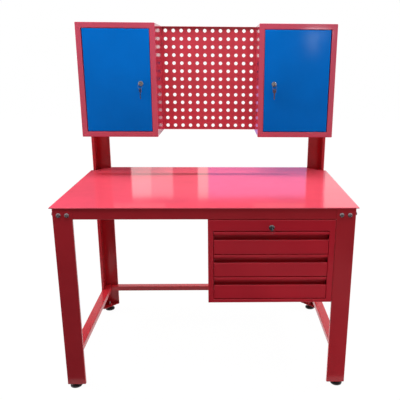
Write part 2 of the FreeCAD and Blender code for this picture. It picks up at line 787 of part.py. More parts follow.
def drawer(name, index, brackets, fixed_members):
    """Front with a folded finger pull, tray and runner members of one drawer."""
    bottom = opening_bottom + drawer_gap + index * (front_height + drawer_gap)
    front_y = frame_gauge
    left = opening_left + drawer_side_gap
    right = opening_right - drawer_side_gap
    grip_back = front_y + grip_depth
    grip_top = bottom + front_height - sheet_gauge

    front = Piece("drawer_%s_front" % name)
    path = [(front_y + front_return, bottom), (front_y, bottom),
            (front_y, bottom + face_height),
            (grip_back, bottom + face_height + grip_depth),
            (grip_back, grip_top), (front_y + sheet_gauge, grip_top),
            (front_y + sheet_gauge, grip_top + sheet_gauge - hem_height)]
    front.pad("YZ_Plane", [folded(path, sheet_gauge)], left, right)
    cheek = [rectangle(front_y + sheet_gauge, bottom + sheet_gauge, front_y + front_return,
                       bottom + face_height)]
    front.pad("YZ_Plane", cheek, left, left + sheet_gauge)
    front.pad("YZ_Plane", cheek, right - sheet_gauge, right)
    keep(front)

    tray_left = opening_left + slide_inset + slide_width
    tray_right = 2 * unit_middle - tray_left
    tray_front = grip_back + sheet_gauge
    tray_rear = back_face - tray_rear_gap
    tray_bottom = bottom + tray_lift
    tray = Piece("drawer_%s_tray" % name)
    tray.pad("XY_Plane", [rectangle(tray_left, tray_front, tray_right, tray_rear)],
             tray_bottom, grip_top)
    tray.cut("XY_Plane", [rectangle(tray_left + tray_gauge, tray_front + tray_gauge,
                                    tray_right - tray_gauge,
                                    tray_rear - tray_gauge)],
             tray_bottom + tray_gauge, grip_top)
    keep(tray)

    start = front_y + slide_setback
    runners = []
    middles = []
    bracket, fixed, middle, inner = slide_sections(bottom + slide_level)
    for hand, turn in (("left", list), ("right", other_side)):
        rows = (("bracket", bracket, brackets), ("fixed", fixed, fixed_members),
                ("middle", middle, middles), ("runner", inner, runners))
        for kind, section, solids in rows:
            piece = Piece("%s_%s_%s" % (kind, name, hand))
            piece.pad("XZ_Plane", [turn(section)], start, back_face - slide_end_gap)
            solids.append(piece)
    group("drawer_%s_runners" % name, runners)
    group("slide_%s_middle" % name, middles)


def cabinet(hand, side):
    """Wall cabinet: case with a front frame, back sheet, shelf and brackets."""
    front = frame_rear - cabinet_depth
    behind = front + sheet_gauge
    inner = bay_width / 2
    outer = inner + cabinet_width
    top = cabinet_base + cabinet_height

    def block(x_low, z_low, x_high, z_high):
        return mirrored(rectangle(x_low, z_low, x_high, z_high), side)

    cavity = block(inner + sheet_gauge, cabinet_base + sheet_gauge,
                   outer - sheet_gauge, top - sheet_gauge)
    opening = block(door_opening_inner, door_opening_bottom, door_opening_outer, door_opening_top)
    rim = block(door_opening_inner - sheet_gauge, door_opening_bottom - sheet_gauge,
                door_opening_outer + sheet_gauge, door_opening_top + sheet_gauge)
    shell = Piece("cabinet_%s_shell" % hand)
    shell.pad("XZ_Plane", [block(inner, cabinet_base, outer, top)], front, frame_rear)
    shell.cut("XZ_Plane", [cavity], behind, frame_rear)
    shell.cut("XZ_Plane", [opening], front, behind)
    shell.pad("XZ_Plane", [rim, opening], behind, front + frame_return)
    pin_holes = [Circle(side * pin_x, pin_y, pin_radius + pin_play)]
    shell.cut("XY_Plane", pin_holes, door_opening_bottom - sheet_gauge, door_opening_bottom)
    shell.cut("XY_Plane", pin_holes, door_opening_top, door_opening_top + sheet_gauge)
    shell.cut("XY_Plane", [shank(side * cabinet_bolt_x, cabinet_bolt_y,
                                  bolt_radius + bolt_play)],
              cabinet_base, cabinet_base + sheet_gauge)
    low, high = span(side, inner, inner + sheet_gauge)
    shell.cut("YZ_Plane", [shank(panel_screw_y, z, screw_radius + bolt_play)
                           for z in panel_screw_levels], low, high)
    keep(shell)

    back = Piece("cabinet_%s_back" % hand)
    back.pad("XZ_Plane", [cavity], frame_rear - sheet_gauge, frame_rear)
    keep(back)

    shelf_front = front + shelf_setback
    shelf_rear = frame_rear - sheet_gauge - shelf_play
    shelf_inner = inner + sheet_gauge + shelf_play
    shelf_outer = outer - sheet_gauge - shelf_play
    path = [(shelf_front + shelf_hem, shelf_level - shelf_lip),
            (shelf_front, shelf_level - shelf_lip), (shelf_front, shelf_level),
            (shelf_rear, shelf_level), (shelf_rear, shelf_level - shelf_lip)]
    shelf = Piece("cabinet_%s_shelf" % hand)
    low, high = span(side, shelf_inner, shelf_outer)
    shelf.pad("YZ_Plane", [folded(path, sheet_gauge)], low, high)
    keep(shelf)

    solids = []
    seat = shelf_level - sheet_gauge
    for name, wall, way in (("inner", inner + sheet_gauge, 1), ("outer", outer - sheet_gauge, -1)):
        tip = wall + way * bracket_leg
        angle = [(wall, seat - bracket_leg), (wall, seat), (tip, seat)]
        if way < 0:
            angle = angle[::-1]
        piece = Piece("shelf_bracket_%s_%s" % (hand, name))
        piece.pad("XZ_Plane", [mirrored(folded(angle, sheet_gauge), side)],
                  shelf_front + bracket_setback, shelf_rear - bracket_setback)
        solids.append(piece)
    return solids


def hinge_pins():
    """Headed pins, above and below each door, through the frame's return and the door's."""
    pin = Piece("pin_model")
    length = sheet_gauge + door_gap + pin_reach
    pin.pad("XY_Plane", [Circle(0, 0, pin_head_radius)], 0, pin_head_height)
    pin.pad("XY_Plane", [Circle(0, 0, pin_radius)], -length, 0)
    links = []
    for side in (-1, 1):
        links.append(placed(pin, side * pin_x, pin_y, door_opening_top + sheet_gauge,
                            FACING["up"]))
        links.append(placed(pin, side * pin_x, pin_y, door_opening_bottom - sheet_gauge,
                            FACING["down"]))
    group("hinge_pins", links)


def door(hand, side):
    """Inset door: a pan with returned edges, and a hole for its lock."""
    front = frame_rear - cabinet_depth
    inner = door_opening_inner + door_gap
    outer = door_opening_outer - hinge_gap
    bottom = door_opening_bottom + door_gap
    top = door_opening_top - door_gap
    outline = mirrored(rectangle(inner, bottom, outer, top), side)
    hollow = mirrored(rectangle(inner + sheet_gauge, bottom + sheet_gauge,
                                outer - sheet_gauge, top - sheet_gauge), side)
    piece = Piece("door_" + hand)
    piece.pad("XZ_Plane", [outline], front, front + door_return)
    piece.cut("XZ_Plane", [hollow], front + sheet_gauge, front + door_return)
    piece.cut("XZ_Plane", [Circle(side * door_lock_x, door_lock_level,
                                  lock_barrel_radius + lock_hole_play)],
              front, front + sheet_gauge)
    piece.cut("XY_Plane", [Circle(side * pin_x, pin_y, pin_radius + pin_play)], bottom, top)
    keep(piece)


def lock_models():
    """The parts of a cam lock round the Y axis, with the cabinet's front face at Y 0."""
    housing = Piece("lock_housing_model")
    bore = Circle(0, 0, plug_radius + plug_play)
    housing.pad("XZ_Plane", [Circle(0, 0, lock_flange_radius), bore], -lock_flange_height, 0)
    housing.pad("XZ_Plane", [Circle(0, 0, lock_barrel_radius), bore], 0, lock_barrel_length)
    nut = Piece("lock_nut_model")
    nut.pad("XZ_Plane", [regular(6, 0, 0, lock_nut_radius, 0),
                         Circle(0, 0, lock_barrel_radius + bolt_play)],
            sheet_gauge, sheet_gauge + lock_nut_height)

    plug_end = lock_barrel_length + cam_gap
    plug = Piece("lock_plug_model")
    plug.pad("XZ_Plane", [Circle(0, 0, plug_radius)], -lock_proud, plug_end)
    half_tail = tail_width / 2
    plug.pad("XZ_Plane", [rectangle(-half_tail, -half_tail, half_tail, half_tail)],
             plug_end, plug_end + cam_gauge)
    slot_x = key_gauge / 2 + key_play
    slot_z = key_blade_width / 2 + key_play
    plug.cut("XZ_Plane", [rectangle(-slot_x, -slot_z, slot_x, slot_z)],
             -lock_proud, key_blade_depth)

    bow_y = -lock_proud - key_neck - key_bow_radius
    half_key = key_gauge / 2
    half_blade = key_blade_width / 2
    key = Piece("key_model")
    key.pad("YZ_Plane", [Circle(bow_y, 0, key_bow_radius)], -half_key, half_key)
    key.pad("YZ_Plane", [rectangle(bow_y, -half_blade, key_blade_depth, half_blade)],
            -half_key, half_key)
    key.cut("YZ_Plane", [Circle(bow_y - key_hole_offset, 0, key_hole_radius)],
            -half_key, half_key)
    return housing, nut, plug, key, bow_y - key_hole_offset


def cam_model(label, length):
    """Locking tongue on the plug's square tail, pointing up while the door is free."""
    start = lock_barrel_length + cam_gap
    half = cam_width / 2
    half_tail = tail_width / 2
    cam = Piece(label)
    cam.pad("XZ_Plane", [rectangle(-half, -half, half, length),
                         rectangle(-half_tail, -half_tail, half_tail, half_tail)],
            start, start + cam_gauge)
    return cam


def key_ring_model(label, radius, ring_y):
    """Flat ring that hangs in the bow of the key."""
    half_wire = ring_wire / 2
    ring_z = -ring_drop - radius
    ring = Piece(label)
    ring.pad("XZ_Plane", [Circle(0, ring_z, radius + half_wire),
                          Circle(0, ring_z, radius - half_wire)],
             ring_y - half_wire, ring_y + half_wire)
    return ring


def spare_key_model():
    """Second key, drawn round the hole that the ring passes through."""
    half_key = key_gauge / 2
    half_blade = key_blade_width / 2
    spare = Piece("spare_key_model")
    spare.pad("YZ_Plane", [Circle(0, -key_hole_offset, key_bow_radius)], -half_key, half_key)
    blade_end = -key_hole_offset - key_bow_radius - spare_blade_length
    spare.pad("YZ_Plane", [rectangle(-half_blade, blade_end, half_blade, -key_hole_offset)],
              -half_key, half_key)
    spare.cut("YZ_Plane", [Circle(0, 0, key_hole_radius)], -half_key, half_key)
    return spare


def locks():
    """Lock with its key in each door and in the drawer unit. A ring hangs in each key, and on
    the doors the spare key hangs from the ring."""
    housing, nut, plug, key, ring_y = lock_models()
    door_ring = key_ring_model("door_ring_model", ring_radius, ring_y)
    unit_ring = key_ring_model("unit_ring_model", unit_ring_radius, ring_y)
    spare = spare_key_model()
    spare_z = -ring_drop - ring_radius * 2 - spare_drop
    cabinet_front = frame_rear - cabinet_depth
    door_cam = cam_model("door_cam_model", door_cam_length)
    unit_cam = cam_model("unit_cam_model", unit_cam_length)
    places = (("door_left", -door_lock_x, cabinet_front, door_lock_level, door_cam),
              ("door_right", door_lock_x, cabinet_front, door_lock_level, door_cam),
              ("unit", unit_middle, frame_gauge, unit_lock_level, unit_cam))
    turn = Rotation(Vector(0, 0, 1), SPARE_KEY_TURN)
    for name, x, y, z, cam in places:
        group(name + "_lock_housing", [placed(housing, x, y, z), placed(nut, x, y, z)])
        group(name + "_lock_core", [placed(plug, x, y, z), placed(cam, x, y, z),
                                    placed(key, x, y, z)])
        if cam is unit_cam:
            group("unit_key_ring", [placed(unit_ring, x, y, z)])
        else:
            group(name + "_spare_key", [placed(door_ring, x, y, z),
                                        placed(spare, x, y + ring_y, z + spare_z, turn)])


def peg_panel():
    """Perforated sheet with a flange on all four edges, between the cabinets."""
    half = bay_width / 2
    bottom = panel_bottom
    top = panel_bottom + panel_height
    face = frame_rear - panel_gauge
    piece = Piece("peg_panel")
    piece.pad("XZ_Plane", [rectangle(-half, bottom, half, top)], face, frame_rear)
    rim = rectangle(-half + panel_gauge, bottom + panel_gauge, half - panel_gauge,
                    top - panel_gauge)
    piece.pad("XZ_Plane", [rectangle(-half, bottom, half, top), rim], face - panel_flange, face)
    screw_holes = [shank(panel_screw_y, z, screw_radius + bolt_play)
                   for z in panel_screw_levels]
    piece.cut("YZ_Plane", screw_holes, half - panel_gauge, half)
    piece.cut("YZ_Plane", screw_holes, -half, -half + panel_gauge)

    across = (hole_columns - 1) * hole_pitch
    along = (hole_rows - 1) * hole_pitch
    first_x = -across / 2
    first_z = bottom + (panel_height - along) / 2
    corner_radius = hole_width / 2 * (1 / math.cos(math.pi / HOLE_SIDES))
    hole = regular(HOLE_SIDES, first_x, first_z, corner_radius, 180.0 / HOLE_SIDES)
    feature = piece.feature("Pocket", "XZ_Plane", [hole], face, frame_rear)
    feature.Reversed = True
    pattern = piece.body.newObject("PartDesign::LinearPattern", "peg_holes")
    pattern.Originals = [feature]
    pattern.Direction = (feature.Profile[0], ["H_Axis"])
    pattern.Direction2 = (feature.Profile[0], ["V_Axis"])
    pattern.setExpression("Length", across.text)
    pattern.setExpression("Length2", along.text)
    pattern.setExpression("Occurrences", hole_columns.text)
    pattern.setExpression("Occurrences2", hole_rows.text)
    piece.body.Tip = pattern
    keep(piece)


def panel_screws():
    """Screws from the panel's flanges into the cabinets' inner walls."""
    screw = Piece("screw_model")
    screw.pad("XY_Plane", [head(screw_head_radius)], 0, screw_head_height)
    screw.pad("XY_Plane", [shank(0, 0, screw_radius)], -screw_length, 0)
    seat = bay_width / 2 - panel_gauge
    links = []
    for z in panel_screw_levels:
        links.append(placed(screw, seat, panel_screw_y, z, FACING["left"]))
        links.append(placed(screw, -seat, panel_screw_y, z, FACING["right"]))
    group("panel_screws", links)


# Cabinet levels
cabinet_base = bench_height + cabinet_clearance
door_lock_level = cabinet_base + door_lock_rise
shelf_level = cabinet_base + shelf_rise

# Bolt places
bolt_level = bench_height - bolt_drop
leg_middle_x = frame_side_x - leg_width / 2
front_bolt_x = [leg_middle_x - bolt_spread / 2 - frame_gauge,
                leg_middle_x + bolt_spread / 2 - frame_gauge]
side_bolt_y = [bolt_inset, bolt_inset + bolt_spread,
               frame_rear - bolt_inset - bolt_spread, frame_rear - bolt_inset]
stretcher_bolt_level = stretcher_top - stretcher_height / 2
side_stretcher_bolt_y = leg_width / 2
rear_stretcher_bolt_x = leg_inner_x + frame_gauge + bolt_flange_radius + 2 * fit_gap
cabinet_bolt_x = frame_side_x - foot_inset
cabinet_bolt_y = frame_rear - foot_inset

# Drawer unit places
unit_top = apron_bottom - unit_drop
unit_bottom = unit_top - unit_height
unit_right = leg_inner_x - unit_leg_gap
unit_left = unit_right - unit_width
unit_middle = unit_left + unit_width / 2
unit_rear = frame_gauge + unit_depth
back_face = unit_rear - sheet_gauge
opening_left = unit_left + stile_width
opening_right = unit_right - stile_width
opening_bottom = unit_bottom + bottom_rail_height
opening_top = unit_top - top_rail_height
drawer_count = len(DRAWERS)
front_height = (opening_top - opening_bottom - (drawer_count + 1) * drawer_gap) / drawer_count
unit_lock_level = unit_top - unit_lock_drop
rail_bolt_rear = unit_rear - rail_bolt_inset
rail_bolt_x = [unit_left + rail_inset + rail_flange / 2 + frame_gauge,
               unit_right - rail_inset - rail_flange / 2 - frame_gauge]

# Cabinet and panel places
bay_width = (frame_side_x - cabinet_side_inset - cabinet_width) * 2
door_opening_inner = bay_width / 2 + frame_side
door_opening_outer = bay_width / 2 + cabinet_width - frame_side
door_opening_bottom = cabinet_base + frame_rail
door_opening_top = cabinet_base + cabinet_height - frame_rail
pin_x = door_opening_outer - hinge_gap - pin_inset
pin_y = frame_rear - cabinet_depth + pin_inset
door_lock_x = door_opening_inner + door_gap + door_lock_inset
panel_bottom = cabinet_base + (cabinet_height - panel_height) / 2
panel_screw_y = frame_rear - panel_gauge - panel_flange / 2
panel_screw_levels = [panel_bottom + panel_screw_inset,
                      panel_bottom + panel_height - panel_screw_inset]

worktop()
apron("front_apron", False)
apron("rear_apron", True)
for hand, side in (("left", -1), ("right", 1)):
    side_apron("apron_" + hand, side)
    leg("leg_front_" + hand, side, False, underside)
    leg("post_rear_" + hand, side, True, cabinet_base)
    side_stretcher("side_stretcher_" + hand, side)
rear_stretcher()
foot_plates()
head_plates()
bolts_and_nuts()
levelling_feet()

unit_rails()
unit_shell()
brackets = []
fixed_members = []
for index, name in enumerate(DRAWERS):
    drawer(name, index, brackets, fixed_members)
group("slide_brackets", brackets)
group("slides_fixed", fixed_members)

shelf_brackets = []
for hand, side in (("left", -1), ("right", 1)):
    shelf_brackets += cabinet(hand, side)
    door(hand, side)
group("shelf_brackets", shelf_brackets)
hinge_pins()
locks()
peg_panel()
panel_screws()

doc.recompute()
for item in doc.Objects:
    if "Invalid" in item.State or "Error" in item.State:
        raise RuntimeError("%s is %s" % (item.Label, item.State))
os.makedirs("parts", exist_ok=True)
for item in sub_parts:
    if item.Shape.isNull() or not item.Shape.isValid():
        raise RuntimeError("%s has no valid shape" % item.Label)
for item in sub_parts:
    item.Shape.exportStep("parts/%s.step" % item.Label)
whole = FreeCAD.BoundBox()
for item in sub_parts:
    whole.add(item.Shape.BoundBox)
print("sub-parts", len(sub_parts), "box", whole)
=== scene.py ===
"""Looks of a sheet-steel workbench: powder-coated folded sheet, plated fasteners, runners and
locks. Shapes are worked out in the drawing's millimetres and end in the frame's metres."""
import math
import bmesh
import bpy
import numpy as np
from mathutils import Matrix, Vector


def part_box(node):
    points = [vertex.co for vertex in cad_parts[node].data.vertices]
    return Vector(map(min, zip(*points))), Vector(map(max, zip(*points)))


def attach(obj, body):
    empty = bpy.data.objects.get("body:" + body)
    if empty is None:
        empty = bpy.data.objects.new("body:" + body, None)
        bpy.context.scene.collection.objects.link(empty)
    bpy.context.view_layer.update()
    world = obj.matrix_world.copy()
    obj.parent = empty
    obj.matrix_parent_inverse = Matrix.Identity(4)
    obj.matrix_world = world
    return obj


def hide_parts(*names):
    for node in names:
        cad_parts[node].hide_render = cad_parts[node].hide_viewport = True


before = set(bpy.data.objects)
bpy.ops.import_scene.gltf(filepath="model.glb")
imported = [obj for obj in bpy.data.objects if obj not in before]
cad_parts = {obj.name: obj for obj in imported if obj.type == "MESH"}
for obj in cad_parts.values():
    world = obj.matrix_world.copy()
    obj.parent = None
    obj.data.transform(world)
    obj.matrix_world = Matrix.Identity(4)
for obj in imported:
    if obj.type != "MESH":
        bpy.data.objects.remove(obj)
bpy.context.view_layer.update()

# The drawing counts Y from the front faces of the legs.
BENCH_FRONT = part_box("leg_front_left")[0].y * 1000.0
PLANES = {"x": (1, 2, 0), "y": (0, 2, 1), "z": (0, 1, 2)}
QUARTER = np.linspace(0.0, np.pi / 2, 5)
# Points closer than this many metres are one, and edges that turn by more degrees are hard.
WELD, SHARP = 2e-6, 32.0


def to_row(points):
    """Drawing millimetres to metres in the frame."""
    return (np.asarray(points, float) + [0.0, BENCH_FRONT, 0.0]) * 0.001


def quads(rows, columns, closed):
    """Corner numbers of the faces of a grid whose columns close into rings."""
    row, column = np.meshgrid(np.arange(rows if closed else rows - 1), np.arange(columns),
                              indexing="ij")
    next_row = (row + 1) % rows
    next_column = (column + 1) % columns
    corners = [row * columns + column, row * columns + next_column,
               next_row * columns + next_column, next_row * columns + column]
    return np.stack(corners, -1).reshape(-1, 4)


def loft(rings, closed=False):
    """Surface through a stack of rings. An open stack gets a flat cap at each end."""
    rings = np.asarray(rings, float)
    count, points = rings.shape[:2]
    faces = quads(count, points, closed).tolist()
    if not closed:
        faces.append(list(range(points))[::-1])
        faces.append(list(range((count - 1) * points, count * points)))
    return rings.reshape(-1, 3), faces


def join(*surfaces):
    """Several surfaces as one."""
    vertices, faces, start = [], [], 0
    for points, polygons in surfaces:
        vertices.append(points)
        faces += [[start + corner for corner in polygon] for polygon in polygons]
        start += len(points)
    return np.concatenate(vertices), faces


def piece(name, surface, material, body, nodes):
    """Mesh object in place, with normals outwards and hard edges where faces turn sharply."""
    points, faces = surface
    mesh = bpy.data.meshes.new(name)
    mesh.from_pydata(to_row(points).tolist(), [], faces)
    shape = bmesh.new()
    shape.from_mesh(mesh)
    bmesh.ops.remove_doubles(shape, verts=shape.verts, dist=WELD)
    bmesh.ops.recalc_face_normals(shape, faces=shape.faces)
    shape.to_mesh(mesh)
    shape.free()
    mesh.shade_smooth()
    mesh.set_sharp_from_angle(angle=math.radians(SHARP))
    made = bpy.data.objects.new(name, mesh)
    bpy.context.scene.collection.objects.link(made)
    mesh.materials.append(material)
    modifier = made.modifiers.new("Even shading", "WEIGHTED_NORMAL")
    modifier.keep_sharp = True
    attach(made, body)
    if nodes:
        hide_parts(*nodes)
    return made


def unit(vectors):
    """Vectors brought to length one."""
    return vectors / np.linalg.norm(vectors, axis=-1, keepdims=True)


def left_of(directions):
    """Directions in a plane, turned left by a right angle."""
    return np.stack([-directions[..., 1], directions[..., 0]], -1)


def circle(steps):
    """Points at equal angles round a circle with a radius of one."""
    angle = np.arange(steps) * 2 * np.pi / steps
    return np.stack([np.cos(angle), np.sin(angle)], -1)


def arcs(corners, before, after, radius, steps):
    """Arc at each corner, about the point that lies the radius from both of its sides. Returns
    the arcs' points and the left-hand normals along them."""
    first, last = left_of(before), left_of(after)
    cosine = (first * last).sum(-1, keepdims=True)
    turn = np.arctan2(before[:, 0] * after[:, 1] - before[:, 1] * after[:, 0], cosine[:, 0])
    side = np.sign(turn)[:, None]
    radius = np.broadcast_to(radius, turn.shape)[:, None]
    centre = corners + side * radius * (first + last) / (1.0 + cosine)
    start = np.arctan2(first[:, 1], first[:, 0])
    angle = start[:, None] + turn[:, None] * np.linspace(0.0, 1.0, steps)
    normal = np.stack([np.cos(angle), np.sin(angle)], -1)
    return centre[:, None] - (side * radius)[:, None] * normal, normal


def fillet(outline, radius, steps=5):
    """Closed outline with every corner rounded."""
    outline = np.asarray(outline, float)
    before = unit(outline - np.roll(outline, 1, 0))
    after = unit(np.roll(outline, -1, 0) - outline)
    return arcs(outline, before, after, radius, steps)[0].reshape(-1, 2)


def inset(outline, distance):
    """Outline that runs anticlockwise, moved inwards with mitred corners."""
    first = left_of(unit(outline - np.roll(outline, 1, 0)))
    last = left_of(unit(np.roll(outline, -1, 0) - outline))
    share = 1.0 + (first * last).sum(-1, keepdims=True)
    return outline + distance * (first + last) / np.maximum(share, 0.2)


def bent(path, gauge, bend=0.8):
    """Closed section of a folded sheet that lies on the right of its path. Each fold is an arc
    with the bend radius inside and the bend radius plus the gauge outside, and the two cut
    edges are rounded by a third of the gauge."""
    path = np.asarray(path, float)
    ways = unit(np.diff(path, axis=0))
    across = left_of(ways)
    turn = ways[:-1, 0] * ways[1:, 1] - ways[:-1, 1] * ways[1:, 0]
    near, near_normal = path[:0], path[:0]
    if len(path) > 2:
        radius = np.where(turn > 0, bend, bend + gauge)
        near, near_normal = arcs(path[1:-1], ways[:-1], ways[1:], radius, 5)
    near = np.concatenate([path[:1], near.reshape(-1, 2), path[-1:]])
    near_normal = np.concatenate([across[:1], near_normal.reshape(-1, 2), across[-1:]])
    far = near - gauge * near_normal
    edge = gauge / 3.0
    swing = np.linspace(0.0, np.pi / 2, 3)[:, None]

    def cut_edge(end, normal, way):
        """Rounded cut edge from the near surface to the far one."""
        near_centre = end - edge * way - edge * normal
        far_centre = end - edge * way - (gauge - edge) * normal
        return np.concatenate([
            near_centre + edge * (normal * np.cos(swing) + way * np.sin(swing)),
            far_centre + edge * (way * np.cos(swing) - normal * np.sin(swing))])

    tail = cut_edge(path[-1], across[-1], ways[-1])
    head = cut_edge(path[0], across[0], -ways[0])[::-1]
    return np.concatenate([near[1:-1], tail, far[1:-1][::-1], head])


def on_axis(flat, height, axis):
    """Points of a flat outline as points in space at this height along the axis."""
    first, second, along = PLANES[axis]
    points = np.zeros((len(flat), 3))
    points[:, first] = flat[:, 0]
    points[:, second] = flat[:, 1]
    points[:, along] = height
    return points


def bar(section, low, high, axis):
    """Section carried straight along an axis."""
    return loft([on_axis(section, low, axis), on_axis(section, high, axis)])


def plate(outline, low, high, axis, edge=0.5):
    """Flat plate whose upper and lower edges are rounded: rings of the outline, moved inwards
    by the edge radius times one minus the sine, then the cosine, of a quarter turn."""
    outline = np.asarray(outline, float)
    rings = [on_axis(inset(outline, edge * (1 - math.sin(a))), low + edge * (1 - math.cos(a)),
                     axis) for a in QUARTER]
    rings += [on_axis(inset(outline, edge * (1 - math.cos(a))), high - edge * (1 - math.sin(a)),
                      axis) for a in QUARTER]
    return loft(rings)


def box_outline(low_x, low_y, high_x, high_y):
    """Corners of a rectangle, anticlockwise."""
    return np.array([(low_x, low_y), (high_x, low_y), (high_x, high_y), (low_x, high_y)], float)


def grown(rectangle, distance):
    """Rectangle whose four sides are moved outwards."""
    low_x, low_y, high_x, high_y = rectangle
    return low_x - distance, low_y - distance, high_x + distance, high_y + distance


def ring(rectangle, grow, height, corner, axis):
    """Rounded rectangle, grown or shrunk, at a height along the axis."""
    outline = box_outline(*grown(rectangle, grow))
    return on_axis(fillet(outline, max(corner + grow, 0.3), 6), height, axis)


def framed_case(outer, opening, front, rear, gauge, lip, corner=3.0):
    """Case folded from one sheet: its walls turn in to a flat frame, and the frame turns back
    into the opening. One closed surface, as rectangles that follow the sheet's section."""
    bend = 0.8
    wide = bend + gauge
    rings = [ring(outer, 0, rear, corner, "y")]
    rings += [ring(outer, -wide * (1 - math.cos(a)), front + wide * (1 - math.sin(a)), corner, "y")
              for a in QUARTER]
    rings += [ring(opening, wide * (1 - math.sin(a)), front + wide * (1 - math.cos(a)), 0.4, "y")
              for a in QUARTER]
    rings.append(ring(opening, 0, front + lip, 0.4, "y"))
    rings.append(ring(opening, gauge, front + lip, 0.4, "y"))
    rings += [ring(opening, gauge + bend * (1 - math.cos(a)),
                   front + gauge + bend * (1 - math.sin(a)), 0.4, "y") for a in QUARTER]
    rings += [ring(outer, -gauge - bend * (1 - math.sin(a)),
                   front + gauge + bend * (1 - math.cos(a)), corner, "y") for a in QUARTER]
    rings.append(ring(outer, -gauge, rear, corner, "y"))
    return loft(rings, closed=True)


def pan(rectangle, face, rim, gauge, axis, bend, corner=2.5):
    """Shallow tray from one sheet: a flat face whose four edges turn towards the rim."""
    way = math.copysign(1.0, rim - face)
    wide = bend + gauge
    rings = [ring(rectangle, -gauge - bend * (1 - math.sin(a)),
                  face + way * (gauge + bend * (1 - math.cos(a))), corner, axis)
             for a in QUARTER]
    rings.append(ring(rectangle, -gauge, rim - way * gauge / 4, corner, axis))
    rings.append(ring(rectangle, -gauge * 0.75, rim, corner, axis))
    rings.append(ring(rectangle, -gauge * 0.25, rim, corner, axis))
    rings.append(ring(rectangle, 0, rim - way * gauge / 4, corner, axis))
    rings += [ring(rectangle, -wide * (1 - math.cos(a)), face + way * wide * (1 - math.sin(a)),
                   corner, axis) for a in QUARTER]
    return loft(rings)


def turned(profile, steps=36, sides=0, flats=0.0, closed=False):
    """Surface of revolution round Z from rows of radius, height and, as a third number, 1 where
    the row is held inside a regular polygon: there its radius is the smaller of the row's own
    and the polygon's, which is the distance to the flats over the cosine of the angle from the
    nearest flat's middle. A closed profile keeps its bore open."""
    rows = np.array([(row + (0,))[:3] for row in profile], float)
    angle = np.arange(steps) * 2 * np.pi / steps
    radius = np.repeat(rows[:, :1], steps, 1)
    if sides:
        sector = 2 * np.pi / sides
        polygon = flats / np.cos(np.mod(angle, sector) - sector / 2)
        radius = np.where(rows[:, 2:] > 0, np.minimum(radius, polygon), radius)
    rings = np.stack([radius * np.cos(angle), radius * np.sin(angle),
                      np.repeat(rows[:, 1:2], steps, 1)], -1)
    return loft(rings, closed)


def thread(radius, pitch, low, high):
    """Threaded rod: the radius dips by the depth times a triangle wave of height over pitch
    less the angle's share of a turn, and it shrinks to 82% within a pitch of the upper end."""
    steps, depth = 18, 0.6
    rows = max(int(round((high - low) / pitch * 4)), 4)
    height = np.linspace(low, high, rows)[:, None]
    angle = (np.arange(steps) * 2 * np.pi / steps)[None]
    phase = np.mod(height / pitch - angle / (2 * np.pi), 1.0)
    dip = depth * 2 * np.abs(phase - 0.5)
    run_out = np.minimum(1.0, (high - height) / pitch)
    around = (radius - dip) * (0.82 + 0.18 * run_out)
    rings = np.stack([around * np.cos(angle), around * np.sin(angle),
                      np.broadcast_to(height, around.shape)], -1)
    return loft(rings)


TURNS = {
    "front": np.array([(1, 0, 0), (0, 0, -1), (0, 1, 0)], float),
    "rear": np.array([(1, 0, 0), (0, 0, 1), (0, -1, 0)], float),
    "right": np.array([(0, 0, 1), (0, 1, 0), (-1, 0, 0)], float),
    "left": np.array([(0, 0, -1), (0, 1, 0), (1, 0, 0)], float),
    "up": np.eye(3),
    "down": np.diag([1.0, -1.0, -1.0]),
}


def put(surface, place, facing="up"):
    """Copy of a shape drawn along Z, turned to its facing and moved to its place."""
    points, faces = surface
    return points @ TURNS[facing].T + np.asarray(place, float), faces


def moved(surface, offset):
    """Shifted without a turn."""
    points, faces = surface
    return points + np.asarray(offset, float), faces


def spun(surface, angle):
    """Turned round Z."""
    points, faces = surface
    turn = np.array([(math.cos(angle), math.sin(angle), 0), (-math.sin(angle), math.cos(angle), 0),
                     (0, 0, 1)])
    return points @ turn, faces


def wound(outline):
    """The outline run anticlockwise."""
    outline = np.asarray(outline, float)
    ahead = np.roll(outline, -1, 0)
    area = (outline[:, 0] * ahead[:, 1] - outline[:, 1] * ahead[:, 0]).sum()
    return outline if area > 0 else outline[::-1]


def mirror_x(flat, side):
    """Flat outline on the right, side 1, or on the left, side -1."""
    return np.asarray(flat, float) * [side, 1.0]


# Finishes

def blank_finish(name):
    """Material with a principled shader and no texture yet."""
    material = bpy.data.materials.new(name)
    material.use_nodes = True
    nodes = material.node_tree.nodes
    return material, nodes, material.node_tree.links, nodes["Principled BSDF"]


def patch(nodes, links, scale, detail, stretch=(1, 1, 1), roughness=0.5):
    """Noise over the object's own coordinates."""
    place = nodes.new("ShaderNodeTexCoord")
    mapping = nodes.new("ShaderNodeMapping")
    mapping.inputs["Scale"].default_value = stretch
    noise = nodes.new("ShaderNodeTexNoise")
    noise.inputs["Scale"].default_value = scale
    noise.inputs["Detail"].default_value = detail
    noise.inputs["Roughness"].default_value = roughness
    links.new(place.outputs["Object"], mapping.inputs["Vector"])
    links.new(mapping.outputs["Vector"], noise.inputs["Vector"])
    return noise.outputs["Fac"]


def ramp(nodes, links, source, stops):
    """Colour ramp on a value."""
    node = nodes.new("ShaderNodeValToRGB")
    elements = node.color_ramp.elements
    while len(elements) < len(stops):
        elements.new(0.5)
    for element, (position, colour) in zip(elements, stops):
        element.position = position
        element.color = (*colour, 1.0)
    links.new(source, node.inputs["Fac"])
    return node.outputs["Color"]


def bump(nodes, links, height, strength, distance, normal=None):
    """Bump from a value, on top of an earlier bump where one is given."""
    node = nodes.new("ShaderNodeBump")
    node.inputs["Strength"].default_value = strength
    node.inputs["Distance"].default_value = distance
    links.new(height, node.inputs["Height"])
    if normal is not None:
        links.new(normal, node.inputs["Normal"])
    return node.outputs["Normal"]


def grey(value):
    """Colour of a ramp that drives a number."""
    return (value, value, value)


